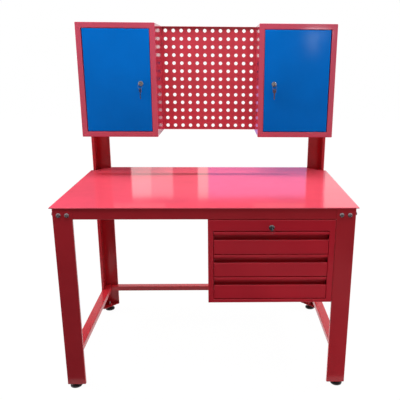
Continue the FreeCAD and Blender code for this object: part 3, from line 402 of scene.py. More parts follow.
def powder_coat(name, colour, gloss, specular, peel=1.0, waves=1.0):
    """Powder coat: cloudy colour, orange peel of a few millimetres, slow waves of the sheet
    beneath, fine pits, and gloss that changes with handling."""
    material, nodes, links, shader = blank_finish(name)
    colour = np.array(colour)
    cloud = patch(nodes, links, 5.0, 5.0)
    tones = [(0.3, tuple(colour * 0.93)), (0.5, tuple(colour)),
             (0.72, tuple(np.minimum(colour * 1.07, 1.0)))]
    links.new(ramp(nodes, links, cloud, tones), shader.inputs["Base Color"])
    smear = patch(nodes, links, 14.0, 6.0, (1.0, 0.6, 1.6), 0.62)
    tones = [(0.35, grey(gloss * 0.88)), (0.7, grey(gloss * 1.15))]
    links.new(ramp(nodes, links, smear, tones), shader.inputs["Roughness"])
    wave = bump(nodes, links, patch(nodes, links, 3.5, 1.0), 0.10 * waves, 0.01)
    orange = bump(nodes, links, patch(nodes, links, 330.0, 2.0), 0.07 * peel, 0.0006, wave)
    pits = bump(nodes, links, patch(nodes, links, 1600.0, 1.0), 0.05 * peel, 0.0002, orange)
    links.new(pits, shader.inputs["Normal"])
    shader.inputs["Specular IOR Level"].default_value = specular
    return material


def plated(name, colour, roughness, grain, stretch, strength=0.2):
    """Plated steel: spangled tone, and drawing or rolling marks along one direction."""
    material, nodes, links, shader = blank_finish(name)
    colour = np.array(colour)
    crystal = nodes.new("ShaderNodeTexVoronoi")
    crystal.inputs["Scale"].default_value = 420.0
    place = nodes.new("ShaderNodeTexCoord")
    links.new(place.outputs["Object"], crystal.inputs["Vector"])
    tones = [(0.0, tuple(colour * 0.9)), (0.8, tuple(np.minimum(colour * 1.06, 1.0)))]
    links.new(ramp(nodes, links, crystal.outputs["Distance"], tones),
              shader.inputs["Base Color"])
    marks = patch(nodes, links, grain, 4.0, stretch)
    tones = [(0.3, grey(roughness * 0.7)), (0.7, grey(roughness * 1.4))]
    links.new(ramp(nodes, links, marks, tones), shader.inputs["Roughness"])
    links.new(bump(nodes, links, marks, strength, 0.0003), shader.inputs["Normal"])
    shader.inputs["Metallic"].default_value = 1.0
    return material


def moulded(name, colour):
    """Moulded rubber-like plastic with fine grain and patches of dust."""
    material, nodes, links, shader = blank_finish(name)
    dust = patch(nodes, links, 60.0, 6.0)
    links.new(ramp(nodes, links, dust, [(0.45, colour), (0.8, tuple(c * 2.4 for c in colour))]),
              shader.inputs["Base Color"])
    grain = patch(nodes, links, 1500.0, 2.0)
    links.new(ramp(nodes, links, grain, [(0.3, grey(0.35)), (0.7, grey(0.55))]),
              shader.inputs["Roughness"])
    links.new(bump(nodes, links, grain, 0.25, 0.0003), shader.inputs["Normal"])
    return material


# These reds, but for the one inside, are copies of one red powder coat whose colours paint in
# light and shade: the worktop's is lighter for the light from above, the frame's darker for the
# shade under the worktop, the drawers' lighter than the frame's, the panel's darker to shade its
# lower part, and the cases' has more green and blue as a painted sheen.
top_red_painted_lit = powder_coat("Red powder coat painted lighter as lit on the worktop", (0.86, 0.088, 0.138), 0.085, 0.42, 0.5,
                      0.5)
frame_red_painted_shade = powder_coat("Red powder coat painted darker as shaded on the frame", (0.50, 0.021, 0.032), 0.22, 0.4, 1.0, 0.5)
case_red_painted_sheen = powder_coat("Red powder coat with painted sheen on the cases", (0.54, 0.042, 0.092), 0.13, 0.5, 1.0, 0.5)
drawer_red_painted_lit = powder_coat("Red powder coat painted lighter as lit on the drawers", (0.59, 0.016, 0.033), 0.20, 0.4, 1.0,
                         0.5)
panel_red_painted_shade = powder_coat("Red powder coat painted darker as shaded on the panel", (0.54, 0.034, 0.060), 0.30, 0.45)
inner_red = powder_coat("Red powder coat inside", (0.56, 0.014, 0.028), 0.42, 0.35, 1.6)
door_blue = powder_coat("Blue powder coat on the doors", (0.0, 0.155, 0.60), 0.17, 0.06, 1.0, 1.4)
# The fasteners' zinc, the locks' nickel and the keys' nickel brass are darker than the bare
# metals, as painted dim reflections; the zinc is tinted red and the keys' metal blue as painted
# reflections of the red and blue paint round them.
zinc = plated("Bright zinc on the fasteners", (0.36, 0.31, 0.33), 0.28, 260.0, (1, 1, 1))
rolled = plated("Zinc on the runners", (0.66, 0.67, 0.68), 0.30, 240.0, (3.0, 0.05, 3.0))
nickel = plated("Nickel on the locks, darker as painted reflection", (0.33, 0.33, 0.34), 0.16, 500.0, (1, 1, 1), 0.08)
brass = plated("Nickel brass on the keys", (0.13, 0.14, 0.17), 0.24, 700.0, (1, 4.0, 0.2), 0.12)
cam_steel = plated("Yellow zinc on the cams", (0.72, 0.60, 0.34), 0.3, 300.0, (1, 1, 1))
black = moulded("Black plastic on the feet", (0.012, 0.012, 0.013))

# Frame: the worktop's faces, the legs' flanges, the rear plane and the sheet of the frame

SIDES = ((-1, "left"), (1, "right"))
UNDERSIDE, TOP = 801.0, 805.0
LEG_IN, LEG_OUT = 514.0, 590.0
REAR = 746.0
GAUGE = 2.0
# Heights at which legs and posts begin, lose their lips for the stretchers, have them again,
# lose them for the aprons, and end.
LEG_END, GAP_LOW, GAP_HIGH, LIP_END, POST_END = 22.0, 113.0, 139.0, 754.0, 1003.5
APRON_LOW, STRETCHER_LOW, STRETCHER_TOP = 755.0, 114.0, 138.0
APRON_BOLTS, STRETCHER_BOLTS = 773.0, 126.0
FOOT_X, FOOT_IN = 562.0, 28.0
LIP, CORNER_PLATE = 12.0, 4.0


def make_worktop():
    """Plate with rounded edges, its rear corners clipped where the posts pass."""
    outline = [(-600, -5), (600, -5), (600, 668.5), (577.25, 668.5), (512.5, 733.25), (512.5, 745),
               (-512.5, 745), (-512.5, 733.25), (-577.25, 668.5), (-600, 668.5)]
    surface = plate(fillet(outline, 1.5, 4), UNDERSIDE, TOP, "z", 1.2)
    piece("worktop_plate", surface, top_red_painted_lit, "bench", ["worktop"])


def make_legs():
    """Angle profiles with return lips, in stretches: the lips stop where other pieces pass."""
    def section(side, rear, inner_lip, side_lip):
        """Section of a leg or a post, with the lips that it has at this height."""
        path = [(LEG_IN, 0), (LEG_OUT, 0), (LEG_OUT, 76)]
        if inner_lip:
            path.insert(0, (LEG_IN, LIP))
        if side_lip:
            path.append((LEG_OUT - LIP, 76))
        path = [(x, REAR - y) for x, y in path][::-1] if rear else path
        path = mirror_x(path, side)
        return bent(path[::-1] if side > 0 else path, GAUGE)

    for side, hand in SIDES:
        front = [section(side, False, inner, outer)
                 for inner, outer in ((True, True), (True, False), (False, False))]
        surface = join(bar(front[0], LEG_END, GAP_LOW, "z"), bar(front[1], GAP_LOW, GAP_HIGH, "z"),
                       bar(front[0], GAP_HIGH, LIP_END, "z"),
                       bar(front[2], LIP_END, UNDERSIDE, "z"))
        piece("front_leg_" + hand, surface, frame_red_painted_shade, "bench", ["leg_front_" + hand])
        rear = [section(side, True, lips, lips) for lips in (True, False)]
        surface = join(bar(rear[0], LEG_END, GAP_LOW, "z"), bar(rear[1], GAP_LOW, GAP_HIGH, "z"),
                       bar(rear[0], GAP_HIGH, LIP_END, "z"), bar(rear[1], LIP_END, TOP + 1.5, "z"),
                       bar(rear[0], TOP + 1.5, POST_END, "z"))
        piece("rear_post_" + hand, surface, frame_red_painted_shade, "bench", ["post_rear_" + hand])


def folded_bar(path, gauge, low, high, axis, side=1):
    """Folded sheet carried straight along an axis, mirrored for the left side."""
    path = mirror_x(path, side)
    return bar(bent(path[::-1] if side < 0 else path, gauge), low, high, axis)


def make_aprons():
    """Channels behind the legs. Their flanges end before the legs and the web runs on."""
    for name, rear in (("front_apron", False), ("rear_apron", True)):
        def section(points):
            """Section in front, or its mirror image at the rear."""
            points = np.array(points, float)
            return points * [-1, 1] + [REAR, 0] if rear else points

        full = section([(22, APRON_LOW), (2, APRON_LOW), (2, UNDERSIDE), (22, UNDERSIDE)])
        web = section([(2, APRON_LOW), (2, UNDERSIDE)])
        if rear:
            full, web = full[::-1], web[::-1]
        flange_end, web_end = LEG_IN - 1, LEG_OUT - 5
        surface = join(bar(bent(full, GAUGE), -flange_end, flange_end, "x"),
                       bar(bent(web, GAUGE), flange_end, web_end, "x"),
                       bar(bent(web, GAUGE), -web_end, -flange_end, "x"))
        piece(name + "_channel", surface, frame_red_painted_shade, "bench", [name])
    path = [(568, UNDERSIDE), (588, UNDERSIDE), (588, APRON_LOW), (568, APRON_LOW)]
    for side, hand in SIDES:
        surface = folded_bar(path, GAUGE, 5, REAR - 5, "y", side)
        piece("side_apron_" + hand, surface, frame_red_painted_shade, "bench", ["apron_" + hand])


def make_stretchers():
    """Channels that are open below: one at the rear and one at each side."""
    low, top = STRETCHER_LOW, STRETCHER_TOP
    path = [(708, low), (708, top), (744, top), (744, low)]
    channel = folded_bar(path, GAUGE, -545, 545, "x")
    piece("rear_stretcher_channel", channel, frame_red_painted_shade, "bench", ["rear_stretcher"])
    path = [(546, low), (546, top), (588, top), (588, low)]
    for side, hand in SIDES:
        piece("side_stretcher_channel_" + hand, folded_bar(path, GAUGE, 3, REAR - 3, "y", side),
              frame_red_painted_shade, "bench", ["side_stretcher_" + hand])


def make_corner_plates():
    """Plates in the feet, each with its weld nut and a bead of weld, and in the posts' heads."""
    outline = np.array([(588, 744), (588, 672), (578, 672), (516, 734), (516, 744)], float)
    weld_nut = turned([(5.2, 0), (8.3, 0, 1), (9.8, 0.6, 1), (9.8, 7.2, 1), (8.4, 8, 1), (5.2, 8)],
                      closed=True, sides=6, flats=8.49)
    bead = turned([(8.6, -0.4), (11.2, -0.2), (10.6, 1.0), (9.2, 1.6), (8.2, 1.2)], closed=True)
    feet, heads = [], []
    for side in (-1, 1):
        for rear in (False, True):
            points = outline if rear else outline * [1, -1] + [0, REAR]
            lower = fillet(wound(mirror_x(points, side)), 1.2, 3)
            feet.append(plate(lower, LEG_END, LEG_END + CORNER_PLATE, "z"))
            place = (side * FOOT_X, REAR - FOOT_IN if rear else FOOT_IN, LEG_END + CORNER_PLATE)
            feet += [put(weld_nut, place), put(bead, place)]
        upper = fillet(wound(mirror_x(outline, side)), 1.2, 3)
        heads.append(plate(upper, POST_END - CORNER_PLATE, POST_END, "z"))
    piece("foot_plates_with_weld_nuts", join(*feet), frame_red_painted_shade, "bench", ["foot_plates"])
    piece("post_head_plates", join(*heads), frame_red_painted_shade, "bench", ["head_plates"])


def flange_bolt():
    """Head up, seat at height 0: threaded shank, domed flange and chamfered hexagon."""
    head = turned([(3.6, -1.0), (8.5, 0.0), (8.9, 0.3), (8.9, 0.8), (8.5, 1.3), (7.9, 1.6),
                   (7.5, 2.0, 1), (7.5, 6.9, 1), (7.1, 7.5, 1), (6.3, 7.95, 1), (5.2, 8.0)],
                  sides=6, flats=6.5)
    return join(head, thread(4.0, 1.25, -16.0, -0.9))


def flange_nut():
    """Hexagon with a chamfer at both ends and an open bore, below height 0."""
    return turned([(4.1, -6.5), (6.2, -6.5, 1), (7.5, -5.8, 1), (7.5, -0.5, 1), (7.0, 0.0, 1),
                   (4.1, 0.0)], closed=True, sides=6, flats=6.5)


def make_fasteners():
    """Bolt at each seat, turned at will, and its nut behind what the two clamp. Each seat has
    its facing, its place and the thickness that is clamped."""
    bolt, nut = flange_bolt(), flange_nut()
    seats = []
    for side, facing in ((-1, "left"), (1, "right")):
        seats += [(wall, (side * x, y, APRON_BOLTS), 4) for x in (534, 566)
                  for wall, y in (("front", 0), ("rear", REAR))]
        seats += [(facing, (side * LEG_OUT, y, APRON_BOLTS), 4) for y in (24, 56, 690, 722)]
        seats += [(facing, (side * LEG_OUT, y, STRETCHER_BOLTS), 4) for y in (38, 708)]
        seats.append(("rear", (side * 526.9, REAR, STRETCHER_BOLTS), 4))
        seats.append(("up", (side * FOOT_X, REAR - FOOT_IN, POST_END + 1.2), 5.2))
    seats += [("down", (x, y, 751.8), 3.2) for x in (38, 482.5) for y in (100, 500)]
    bolts, nuts = [], []
    for index, (facing, place, clamped) in enumerate(seats):
        turn = math.radians(index * 47 % 60 - 30)
        bolts.append(put(spun(bolt, turn), place, facing))
        nuts.append(put(moved(spun(nut, 2.3 * turn), (0, 0, -clamped)), place, facing))
    piece("flange_bolts", join(*bolts), zinc, "bench", ["frame_bolts"])
    piece("flange_nuts", join(*nuts), zinc, "bench", ["frame_nuts"])


def make_feet():
    """Moulded disc with a fluted shoulder, steel collar and threaded stud."""
    disc = turned([(18, 0.6), (19, 0), (24.2, 0), (24.8, 0.4), (25, 1.2), (25, 5.0), (24.7, 5.7),
                   (24.0, 6.3), (17.4, 9.9), (16.8, 9.9), (10.8, 13.2), (9.6, 13.9), (6.0, 14.0)],
                  steps=64)
    stud = join(turned([(7.6, 14.0), (9.0, 14.6, 1), (9.0, 20.9, 1), (8.2, 21.7, 1),
                        (4.0, 21.7)], sides=6, flats=7.79), thread(5.0, 1.5, 21.2, 46.0))
    for side, hand in SIDES:
        for end, y in (("front", FOOT_IN), ("rear", REAR - FOOT_IN)):
            name = "foot_%s_%s" % (end, hand)
            place = (side * FOOT_X, y, 0)
            piece(name + "_disc", put(disc, place), black, name, [name])
            piece(name + "_stud", put(stud, place), zinc, name, [])


# Drawer unit: its outside and its opening as left, lower, right and upper, and its drawers

UNIT = (9.0, 398.5, 513.3, 753.0)
OPENING = (31.0, 413.5, 489.5, 707.0)
UNIT_MIDDLE = 260.25
SHEET = 1.2
DRAWERS = ("bottom", "middle", "top")
DRAWER_GAP = 3.5
FRONT_HEIGHT = (OPENING[3] - OPENING[1] - 4 * DRAWER_GAP) / 3
FRONT_LEFT, FRONT_RIGHT = 33.0, 487.5
UNIT_FRONT, UNIT_REAR = 2.0, 602.0


def drawer_bottom(index):
    """Lower edge of a drawer's front."""
    return OPENING[1] + DRAWER_GAP + index * (FRONT_HEIGHT + DRAWER_GAP)


def make_unit():
    """Case, back sheet and the two channels under the worktop that it hangs from."""
    case = framed_case(UNIT, OPENING, UNIT_FRONT, UNIT_REAR, SHEET, 14.2, 1.2)
    piece("unit_case", case, drawer_red_painted_lit, "bench", ["unit_shell"])
    back = box_outline(*grown(UNIT, -SHEET))
    piece("unit_back_sheet", plate(back, UNIT_REAR - SHEET, UNIT_REAR, "y", 0.35), inner_red,
          "bench", ["unit_back"])
    left = [(51, 753), (21, 753), (21, UNDERSIDE), (51, UNDERSIDE)]
    right = [(469.5, UNDERSIDE), (499.5, UNDERSIDE), (499.5, 753), (469.5, 753)]
    rails = join(bar(bent(left, GAUGE), 24, 722, "y"), bar(bent(right, GAUGE), 24, 722, "y"))
    piece("unit_hanging_rails", rails, frame_red_painted_shade, "bench", ["unit_rails"])


def make_drawer(name, bottom):
    """Front bent to a finger pull, with cheeks behind its lower face, and the tray behind it."""
    top = bottom + FRONT_HEIGHT - SHEET
    face, behind, pocket = UNIT_FRONT, 15, 24
    path = [(behind, bottom), (face, bottom), (face, bottom + 60), (pocket, bottom + 52),
            (pocket, top), (face + SHEET, top), (face + SHEET, top + SHEET - 11)]
    cheek = [(face + SHEET, bottom + SHEET), (behind, bottom + SHEET), (behind, bottom + 54),
             (face + SHEET, bottom + 58.3)]
    surface = join(bar(bent(path, SHEET), FRONT_LEFT, FRONT_RIGHT, "x"),
                   plate(cheek, FRONT_LEFT, FRONT_LEFT + SHEET, "x", 0.3),
                   plate(cheek, FRONT_RIGHT - SHEET, FRONT_RIGHT, "x", 0.3))
    body = "drawer_" + name
    piece("front_of_%s_drawer" % name, surface, drawer_red_painted_lit, body, [body + "_front"])
    tray = pan((44.7, 25.2, 475.8, 560.2), bottom + 5, top, 1.0, "z", 1.2, 2.0)
    piece("tray_of_%s_drawer" % name, tray, inner_red, body, [body + "_tray"])


def runner_paths(height):
    """Sections of bracket, fixed, middle and drawer member on the left side: each is a channel
    from its lips' X to its web's X, and half as high as its third number on either side."""
    kinds = ((10.2, 32.0, -19.0), (43.1, 32.0, 22.5), (43.1, 33.6, 20.9), (35.2, 44.7, -19.3))
    return [[(lips, height - half), (web, height - half), (web, height + half),
             (lips, height + half)] for lips, web, half in kinds]


def make_runners():
    """Telescopic runners: folded members in one another, rubber stops and riveted ends."""
    fixed_brackets, fixed_members = [], []
    rivet = turned([(3.2, 0.0), (3.2, 0.5), (2.4, 1.1), (1.2, 1.35)], steps=16)
    for index, name in enumerate(DRAWERS):
        height = drawer_bottom(index) + 46
        members = [[], [], [], []]
        for mirrored in (False, True):
            for kind, path in enumerate(runner_paths(height)):
                path = np.array(path, float)
                if mirrored:
                    path = (path * [-1, 1] + [2 * UNIT_MIDDLE, 0])[::-1]
                members[kind].append(bar(bent(path, SHEET, 0.3), 30, 530, "y"))
            x, facing = (477.0, "right") if mirrored else (43.5, "left")
            members[3] += [put(rivet, (x, y, height), facing) for y in (60, 180, 300, 420, 510)]
        fixed_brackets += members[0]
        fixed_members += members[1]
        piece("middle_runners_" + name, join(*members[2]), rolled, "slide_" + name,
              ["slide_%s_middle" % name])
        piece("drawer_runners_" + name, join(*members[3]), rolled, "drawer_" + name,
              ["drawer_%s_runners" % name])
    piece("runner_brackets", join(*fixed_brackets), inner_red, "bench", ["slide_brackets"])
    piece("fixed_runners", join(*fixed_members), rolled, "bench", ["slides_fixed"])


# Cabinets, doors and peg panel

CABINET = (231.0, POST_END, 581.0, 1508.5)
DOORWAY = (256.0, 1028.0, 556.0, 1484.0)
DOOR = (257.5, 1029.5, 553.0, 1482.5)
CABINET_FRONT = REAR - 262.0
SHELF_TOP = 1300.0


def make_cabinet(side, hand):
    """Case, back sheet, shelf and door of one cabinet."""
    def sided(rectangle):
        """Rectangle on the right, or its mirror image on the left."""
        low_x, low_z, high_x, high_z = rectangle
        return rectangle if side > 0 else (-high_x, low_z, -low_x, high_z)

    case = framed_case(sided(CABINET), sided(DOORWAY), CABINET_FRONT, REAR, SHEET, 20)
    piece("cabinet_case_" + hand, case, case_red_painted_sheen, "bench", ["cabinet_%s_shell" % hand])
    back = box_outline(*grown(sided(CABINET), -SHEET))
    piece("cabinet_back_" + hand, plate(back, REAR - SHEET, REAR, "y", 0.35), inner_red, "bench",
          ["cabinet_%s_back" % hand])
    path = [(541.5, 1285), (534, 1285), (534, SHELF_TOP), (744.3, SHELF_TOP), (744.3, 1285)]
    low, _, high, _ = grown(sided(CABINET), -SHEET - 0.5)
    piece("cabinet_shelf_" + hand, bar(bent(path, SHEET), low, high, "x"), inner_red, "bench",
          ["cabinet_%s_shelf" % hand])
    door = pan(sided(DOOR), CABINET_FRONT, CABINET_FRONT + 18, SHEET, "y", 2.0)
    piece("door_skin_" + hand, door, door_blue, hand + "_door", ["door_" + hand])


def make_brackets_and_pins():
    """Angles under the shelves, and the pins above and below each door."""
    seat = SHELF_TOP - SHEET
    left, right, leg = CABINET[0] + SHEET, CABINET[2] - SHEET, 14
    inner = [(left, seat - leg), (left, seat), (left + leg, seat)]
    outer = [(right - leg, seat), (right, seat), (right, seat - leg)]
    brackets = join(*[folded_bar(path, SHEET, 564, 714.3, "y", side)
                      for side in (-1, 1) for path in (inner, outer)])
    piece("shelf_angle_brackets", brackets, inner_red, "bench", ["shelf_brackets"])
    pin = turned([(1.6, -11.7), (2.5, -10.6), (2.5, 0), (4.2, 0), (4.5, 0.3), (4.4, 0.9),
                  (3.4, 1.4), (1.5, 1.5)], steps=32)
    pins = []
    for side in (-1, 1):
        pins.append(put(pin, (side * 547, CABINET_FRONT + 6, 1485.2), "up"))
        pins.append(put(pin, (side * 547, CABINET_FRONT + 6, 1026.8), "down"))
    piece("door_hinge_pins", join(*pins), zinc, "bench", ["hinge_pins"])


def make_peg_panel():
    """Sheet with round holes: each cell of the grid joins a square to its hole, in front and
    behind, and the hole's front edge is rounded. A folded rim runs round the sheet."""
    gauge, bend = 1.5, 0.8
    front, rear, wide = REAR - gauge, REAR, gauge + bend
    columns, rows, pitch, middle, hole, easing, steps = 12, 13, 38.5, 1256, 8.6, 0.3, 24
    sheet = (-231.0, 1006.0, 231.0, 1506.0)
    flat = grown(sheet, -wide)
    around = circle(steps)
    square = around / np.abs(around).max(-1, keepdims=True)
    cells = []
    for x in (np.arange(columns) - (columns - 1) / 2) * pitch:
        for z in middle + (np.arange(rows) - (rows - 1) / 2) * pitch:
            outer = np.clip(square * pitch / 2 + [x, z], flat[:2], flat[2:])
            rings = [on_axis(outer, front, "y"),
                     on_axis(around * (hole + easing) + [x, z], front, "y"),
                     on_axis(around * hole + [x, z], front + easing, "y"),
                     on_axis(around * hole + [x, z], rear, "y"), on_axis(outer, rear, "y")]
            cells.append((np.concatenate(rings), quads(len(rings), steps, False).tolist()))
    rim_edge = front - 15
    rim = [ring(sheet, -wide * (1 - math.sin(a)), rear - wide * (1 - math.cos(a)), wide + 0.3, "y")
           for a in QUARTER]
    rim += [ring(sheet, 0, rim_edge + 0.4, wide + 0.3, "y"),
            ring(sheet, -0.4, rim_edge, wide + 0.3, "y"),
            ring(sheet, 0.4 - gauge, rim_edge, wide + 0.3, "y"),
            ring(sheet, -gauge, rim_edge + 0.4, wide + 0.3, "y")]
    rim += [ring(sheet, -gauge - bend * (1 - math.cos(a)), front - bend * (1 - math.sin(a)),
                 wide + 0.3, "y") for a in QUARTER]
    surface = join(*cells, loft(rim, closed=True))
    piece("perforated_panel", surface, panel_red_painted_shade, "bench", ["peg_panel"])
    screw = join(turned([(2.0, -0.8), (4.2, 0), (4.5, 0.3), (4.4, 1.1), (3.7, 1.9), (2.4, 2.4),
                         (1.4, 2.5), (1.1, 1.4)], steps=32), thread(2.5, 0.8, -10, -0.5))
    screws = [put(screw, (side * 229.5, 737, z), "left" if side > 0 else "right")
              for side in (-1, 1) for z in (1086, 1426)]
    piece("panel_screws_pan_head", join(*screws), zinc, "bench", ["panel_screws"])


# Locks and keys: how far the key's hole stands in front of the lock's seat

KEY_REACH = 26.0


def key_parts(length):
    """Key in the plane of its first two axes, hole at the origin and blade along the first:
    a round bow with its hole, and a thinner blade with V cuts along one edge."""
    around = circle(48)
    bow, hole = around * 11 + [6, 0], around * 3
    rings = []
    for grow, height in ((-0.4, -1.0), (0.0, -0.6), (0.0, 0.6), (-0.4, 1.0)):
        rings.append(on_axis(bow + around * grow, height, "z"))
    for grow, height in ((0.2, 1.0), (0.0, 0.7), (0.0, -0.7), (0.2, -1.0)):
        rings.append(on_axis(hole + around * grow, height, "z"))
    cuts = [(17.5, -3.5), (24, -3.5), (25.5, -2.2), (27, -3.0), (28.5, -1.4), (30, -2.6),
            (31.5, -1.8), (33, -3.0), (34.5, -1.6), (36, -2.4), (38, -3.2)]
    blade = [(12.0, 3.5)] + [(12.0, -3.5)] + cuts
    blade += [(length - 3.2, -3.2), (length, -0.4), (length, 0.6), (length - 2.6, 3.5)]
    return join(loft(rings, closed=True), plate(wound(np.array(blade)), -0.85, 0.85, "z", 0.2))


def split_ring(radius):
    """Two turns of wire side by side in the plane of X and Z, hung from the origin."""
    wire, pitch, steps = 0.4, 0.8, 97
    turns = np.linspace(0.0, 4 * np.pi, steps)
    centre = np.stack([radius * np.sin(turns), (turns / (4 * np.pi) - 0.5) * pitch,
                       radius * np.cos(turns) - radius], -1)
    outward = np.stack([np.sin(turns), np.zeros(steps), np.cos(turns)], -1)
    out, along = circle(10).T[:, None, :, None]
    return loft(centre[:, None] + wire * (out * outward[:, None] + along * np.array([0, 1, 0])))


def turned_axes(surface, first, second, third):
    """The surface's own axes along three directions in space."""
    points, faces = surface
    return points @ np.array([first, second, third], float), faces


def make_lock(name, place, housing_body, lock_body, ring_body, ring_radius, cam_length):
    """Cam lock with its face on the sheet, the key in it and a ring through the key."""
    housing = turned([(7.1, -22), (9.2, -22), (9.5, -21.7), (9.5, 0), (11.2, 0), (11.5, 0.4),
                      (11.5, 1.4), (11.0, 2.1), (10.0, 2.5), (8.6, 2.5), (7.6, 2.2), (7.1, 1.6)],
                     steps=48, closed=True)
    nut = turned([(9.6, -6.2), (11.6, -6.2, 1), (13, -5.6, 1), (13, -1.8, 1), (11.8, -1.2, 1),
                  (9.6, -1.2)], steps=48, sides=6, flats=11.26, closed=True)
    plug = turned([(6.4, -22.5), (7.0, -21.9), (7.0, 2.2), (6.7, 2.7), (6.0, 3.0)], steps=48)
    prefix = name + "_lock"
    piece(prefix + "_barrel", put(join(housing, nut), place, "front"), nickel, housing_body,
          [prefix + "_housing"])
    key = moved(turned_axes(key_parts(43), (0, 1, 0), (0, 0, 1), (1, 0, 0)), (0, -KEY_REACH, 0))
    piece(prefix + "_plug", put(plug, place, "front"), nickel, lock_body, [prefix + "_core"])
    piece(prefix + "_key", moved(key, place), brass, lock_body, [])
    x, y, z = place
    outline = box_outline(x - 7.5, z - 7.5, x + 7.5, z + cam_length)
    cam = join(plate(fillet(outline, 2.5, 5), y + 22.5, y + 24.5, "y", 0.3),
               put(turned([(3.4, 0, 1), (4.6, 0.6, 1), (4.6, 1.6, 1), (3.2, 2.2, 1)], sides=6,
                          flats=4.0), (x, y + 24.4, z), "rear"))
    piece(prefix + "_cam", cam, cam_steel, lock_body, [])
    hang = (x, y - KEY_REACH, z - 1.6)
    node = "unit_key_ring" if name == "unit" else name + "_spare_key"
    piece(prefix + "_ring", moved(split_ring(ring_radius), hang), nickel, ring_body, [node])
    return hang


def make_locks():
    """The doors' locks, each with a second key on its ring, and the drawer unit's lock."""
    for side, hand in SIDES:
        place = (side * 302.5, CABINET_FRONT, 1246)
        x, y, z = make_lock("door_" + hand, place, hand + "_door", hand + "_lock",
                            hand + "_spare_key", 10.0, 38)
        spare = turned_axes(key_parts(45), (0, 0, -1), (0, 1, 0), (1, 0, 0))
        spare = moved(spun(spare, math.radians(40)), (x, y, z - 21))
        piece("door_%s_hanging_key" % hand, spare, brass, hand + "_spare_key", [])
    place = (UNIT_MIDDLE, UNIT_FRONT, 721)
    make_lock("unit", place, "bench", "unit_lock", "unit_key_ring", 7.0, 27)


# Camera, light and stage

LAMPS = (
    ("Ceiling softbox", (0.0, -0.5, 3.0), (0.0, -0.1, 0.8), (3.2, 2.2), 72.0),
    ("Rear softbox", (0.3, 2.6, 1.5), (0.0, 0.2, 0.3), (3.0, 1.4), 54.0),
    ("Left softbox", (-2.8, 0.5, 1.0), (0.0, 0.1, 0.2), (1.4, 1.0), 74.0),
    ("Right softbox", (2.8, 0.5, 1.0), (0.0, 0.1, 0.2), (1.4, 1.0), 74.0),
    ("Cabinet softbox", (-1.6, -0.75, 1.6), (-0.3, 0.12, 1.25), (0.5, 0.5), 5.0),
    ("Ground softbox", (0.8, -1.2, 0.03), (0.2, -0.36, 0.15), (2.4, 0.3), 5.5),
    ("Low right softbox", (2.3, -2.0, 0.5), (0.3, 0.0, 0.5), (1.4, 0.9), 4.6),
    ("Panel softbox", (0.0, -0.15, 2.0), (0.0, 0.38, 1.4), (0.5, 0.2), 1.5),
)


def make_camera():
    """Camera of the photograph: its place, and its axes from yaw, pitch and roll."""
    yaw, pitch, roll = (math.radians(a) for a in (1.6, 15.74, 0.41))
    forward = np.array([math.sin(yaw) * math.cos(pitch), math.cos(yaw) * math.cos(pitch),
                        -math.sin(pitch)])
    right = np.array([math.cos(yaw), -math.sin(yaw), 0.0])
    up = np.cross(right, forward)
    right, up = (math.cos(roll) * right + math.sin(roll) * up,
                 math.cos(roll) * up - math.sin(roll) * right)
    data = bpy.data.cameras.new("Photograph view")
    data.lens = 46.05
    data.sensor_width = 36.0
    data.shift_x = -0.0889
    camera = bpy.data.objects.new("Photograph view", data)
    matrix = np.eye(4)
    matrix[:3, 0], matrix[:3, 1], matrix[:3, 2] = right, up, -forward
    matrix[:3, 3] = (0.06407, -1.89787 + BENCH_FRONT * 0.001, 1.37001)
    camera.matrix_world = Matrix(matrix.tolist())
    bpy.context.scene.collection.objects.link(camera)
    bpy.context.scene.camera = camera


def area_light(name, place, aim, size, power):
    """White softbox in metres and watts that shines at its aim and shows in no reflection."""
    data = bpy.data.lights.new(name, "AREA")
    data.shape = "RECTANGLE"
    data.size, data.size_y = size
    data.energy = power
    lamp = bpy.data.objects.new(name, data)
    backward = unit(np.array(place, float) - np.array(aim, float))
    right = unit(np.cross((0.0, 1.0, 0.0) if abs(backward[2]) > 0.95 else (0.0, 0.0, 1.0),
                          backward))
    matrix = np.eye(4)
    matrix[:3, 0], matrix[:3, 1], matrix[:3, 2] = right, np.cross(backward, right), backward
    matrix[:3, 3] = place
    lamp.matrix_world = Matrix(matrix.tolist())
    bpy.context.scene.collection.objects.link(lamp)
    lamp.visible_glossy = False


def stage_sheet(name, corners, unseen=()):
    """Flat face of the studio, from corners in the frame's metres, hidden from some rays."""
    mesh = bpy.data.meshes.new(name)
    mesh.from_pydata(np.asarray(corners, float).tolist(), [], [tuple(range(len(corners)))])
    sheet = bpy.data.objects.new(name, mesh)
    bpy.context.scene.collection.objects.link(sheet)
    for rays in unseen:
        setattr(sheet, "visible_" + rays, False)
    return sheet


def shader_tree(owner, output):
    """Empty node tree of a material or a world, with its output node."""
    owner.use_nodes = True
    tree = owner.node_tree
    tree.nodes.clear()
    return tree.nodes, tree.links, tree.nodes.new(output)


def shader_node(nodes, kind, values):
    """New node with these numbers and colours on its sockets."""
    node = nodes.new(kind)
    for socket, value in values:
        node.inputs[socket].default_value = value
    return node


def seen_rays(nodes, links):
    """One for camera, glossy and transmission rays, and nothing for the rest."""
    path = nodes.new("ShaderNodeLightPath")
    total = path.outputs["Is Camera Ray"]
    for name in ("Is Glossy Ray", "Is Transmission Ray"):
        add = nodes.new("ShaderNodeMath")
        add.operation = "MAXIMUM"
        links.new(total, add.inputs[0])
        links.new(path.outputs[name], add.inputs[1])
        total = add.outputs[0]
    return total


def reflection_card(name, corners, colour, strength=1.0):
    """Glowing card that only reflections see."""
    card = stage_sheet(name, to_row(corners), ("camera", "diffuse", "transmission", "shadow"))
    material = bpy.data.materials.new(name)
    nodes, links, output = shader_tree(material, "ShaderNodeOutputMaterial")
    glow = shader_node(nodes, "ShaderNodeEmission", (("Color", (*colour, 1.0)),
                                                     ("Strength", strength)))
    links.new(glow.outputs[0], output.inputs[0])
    card.data.materials.append(material)


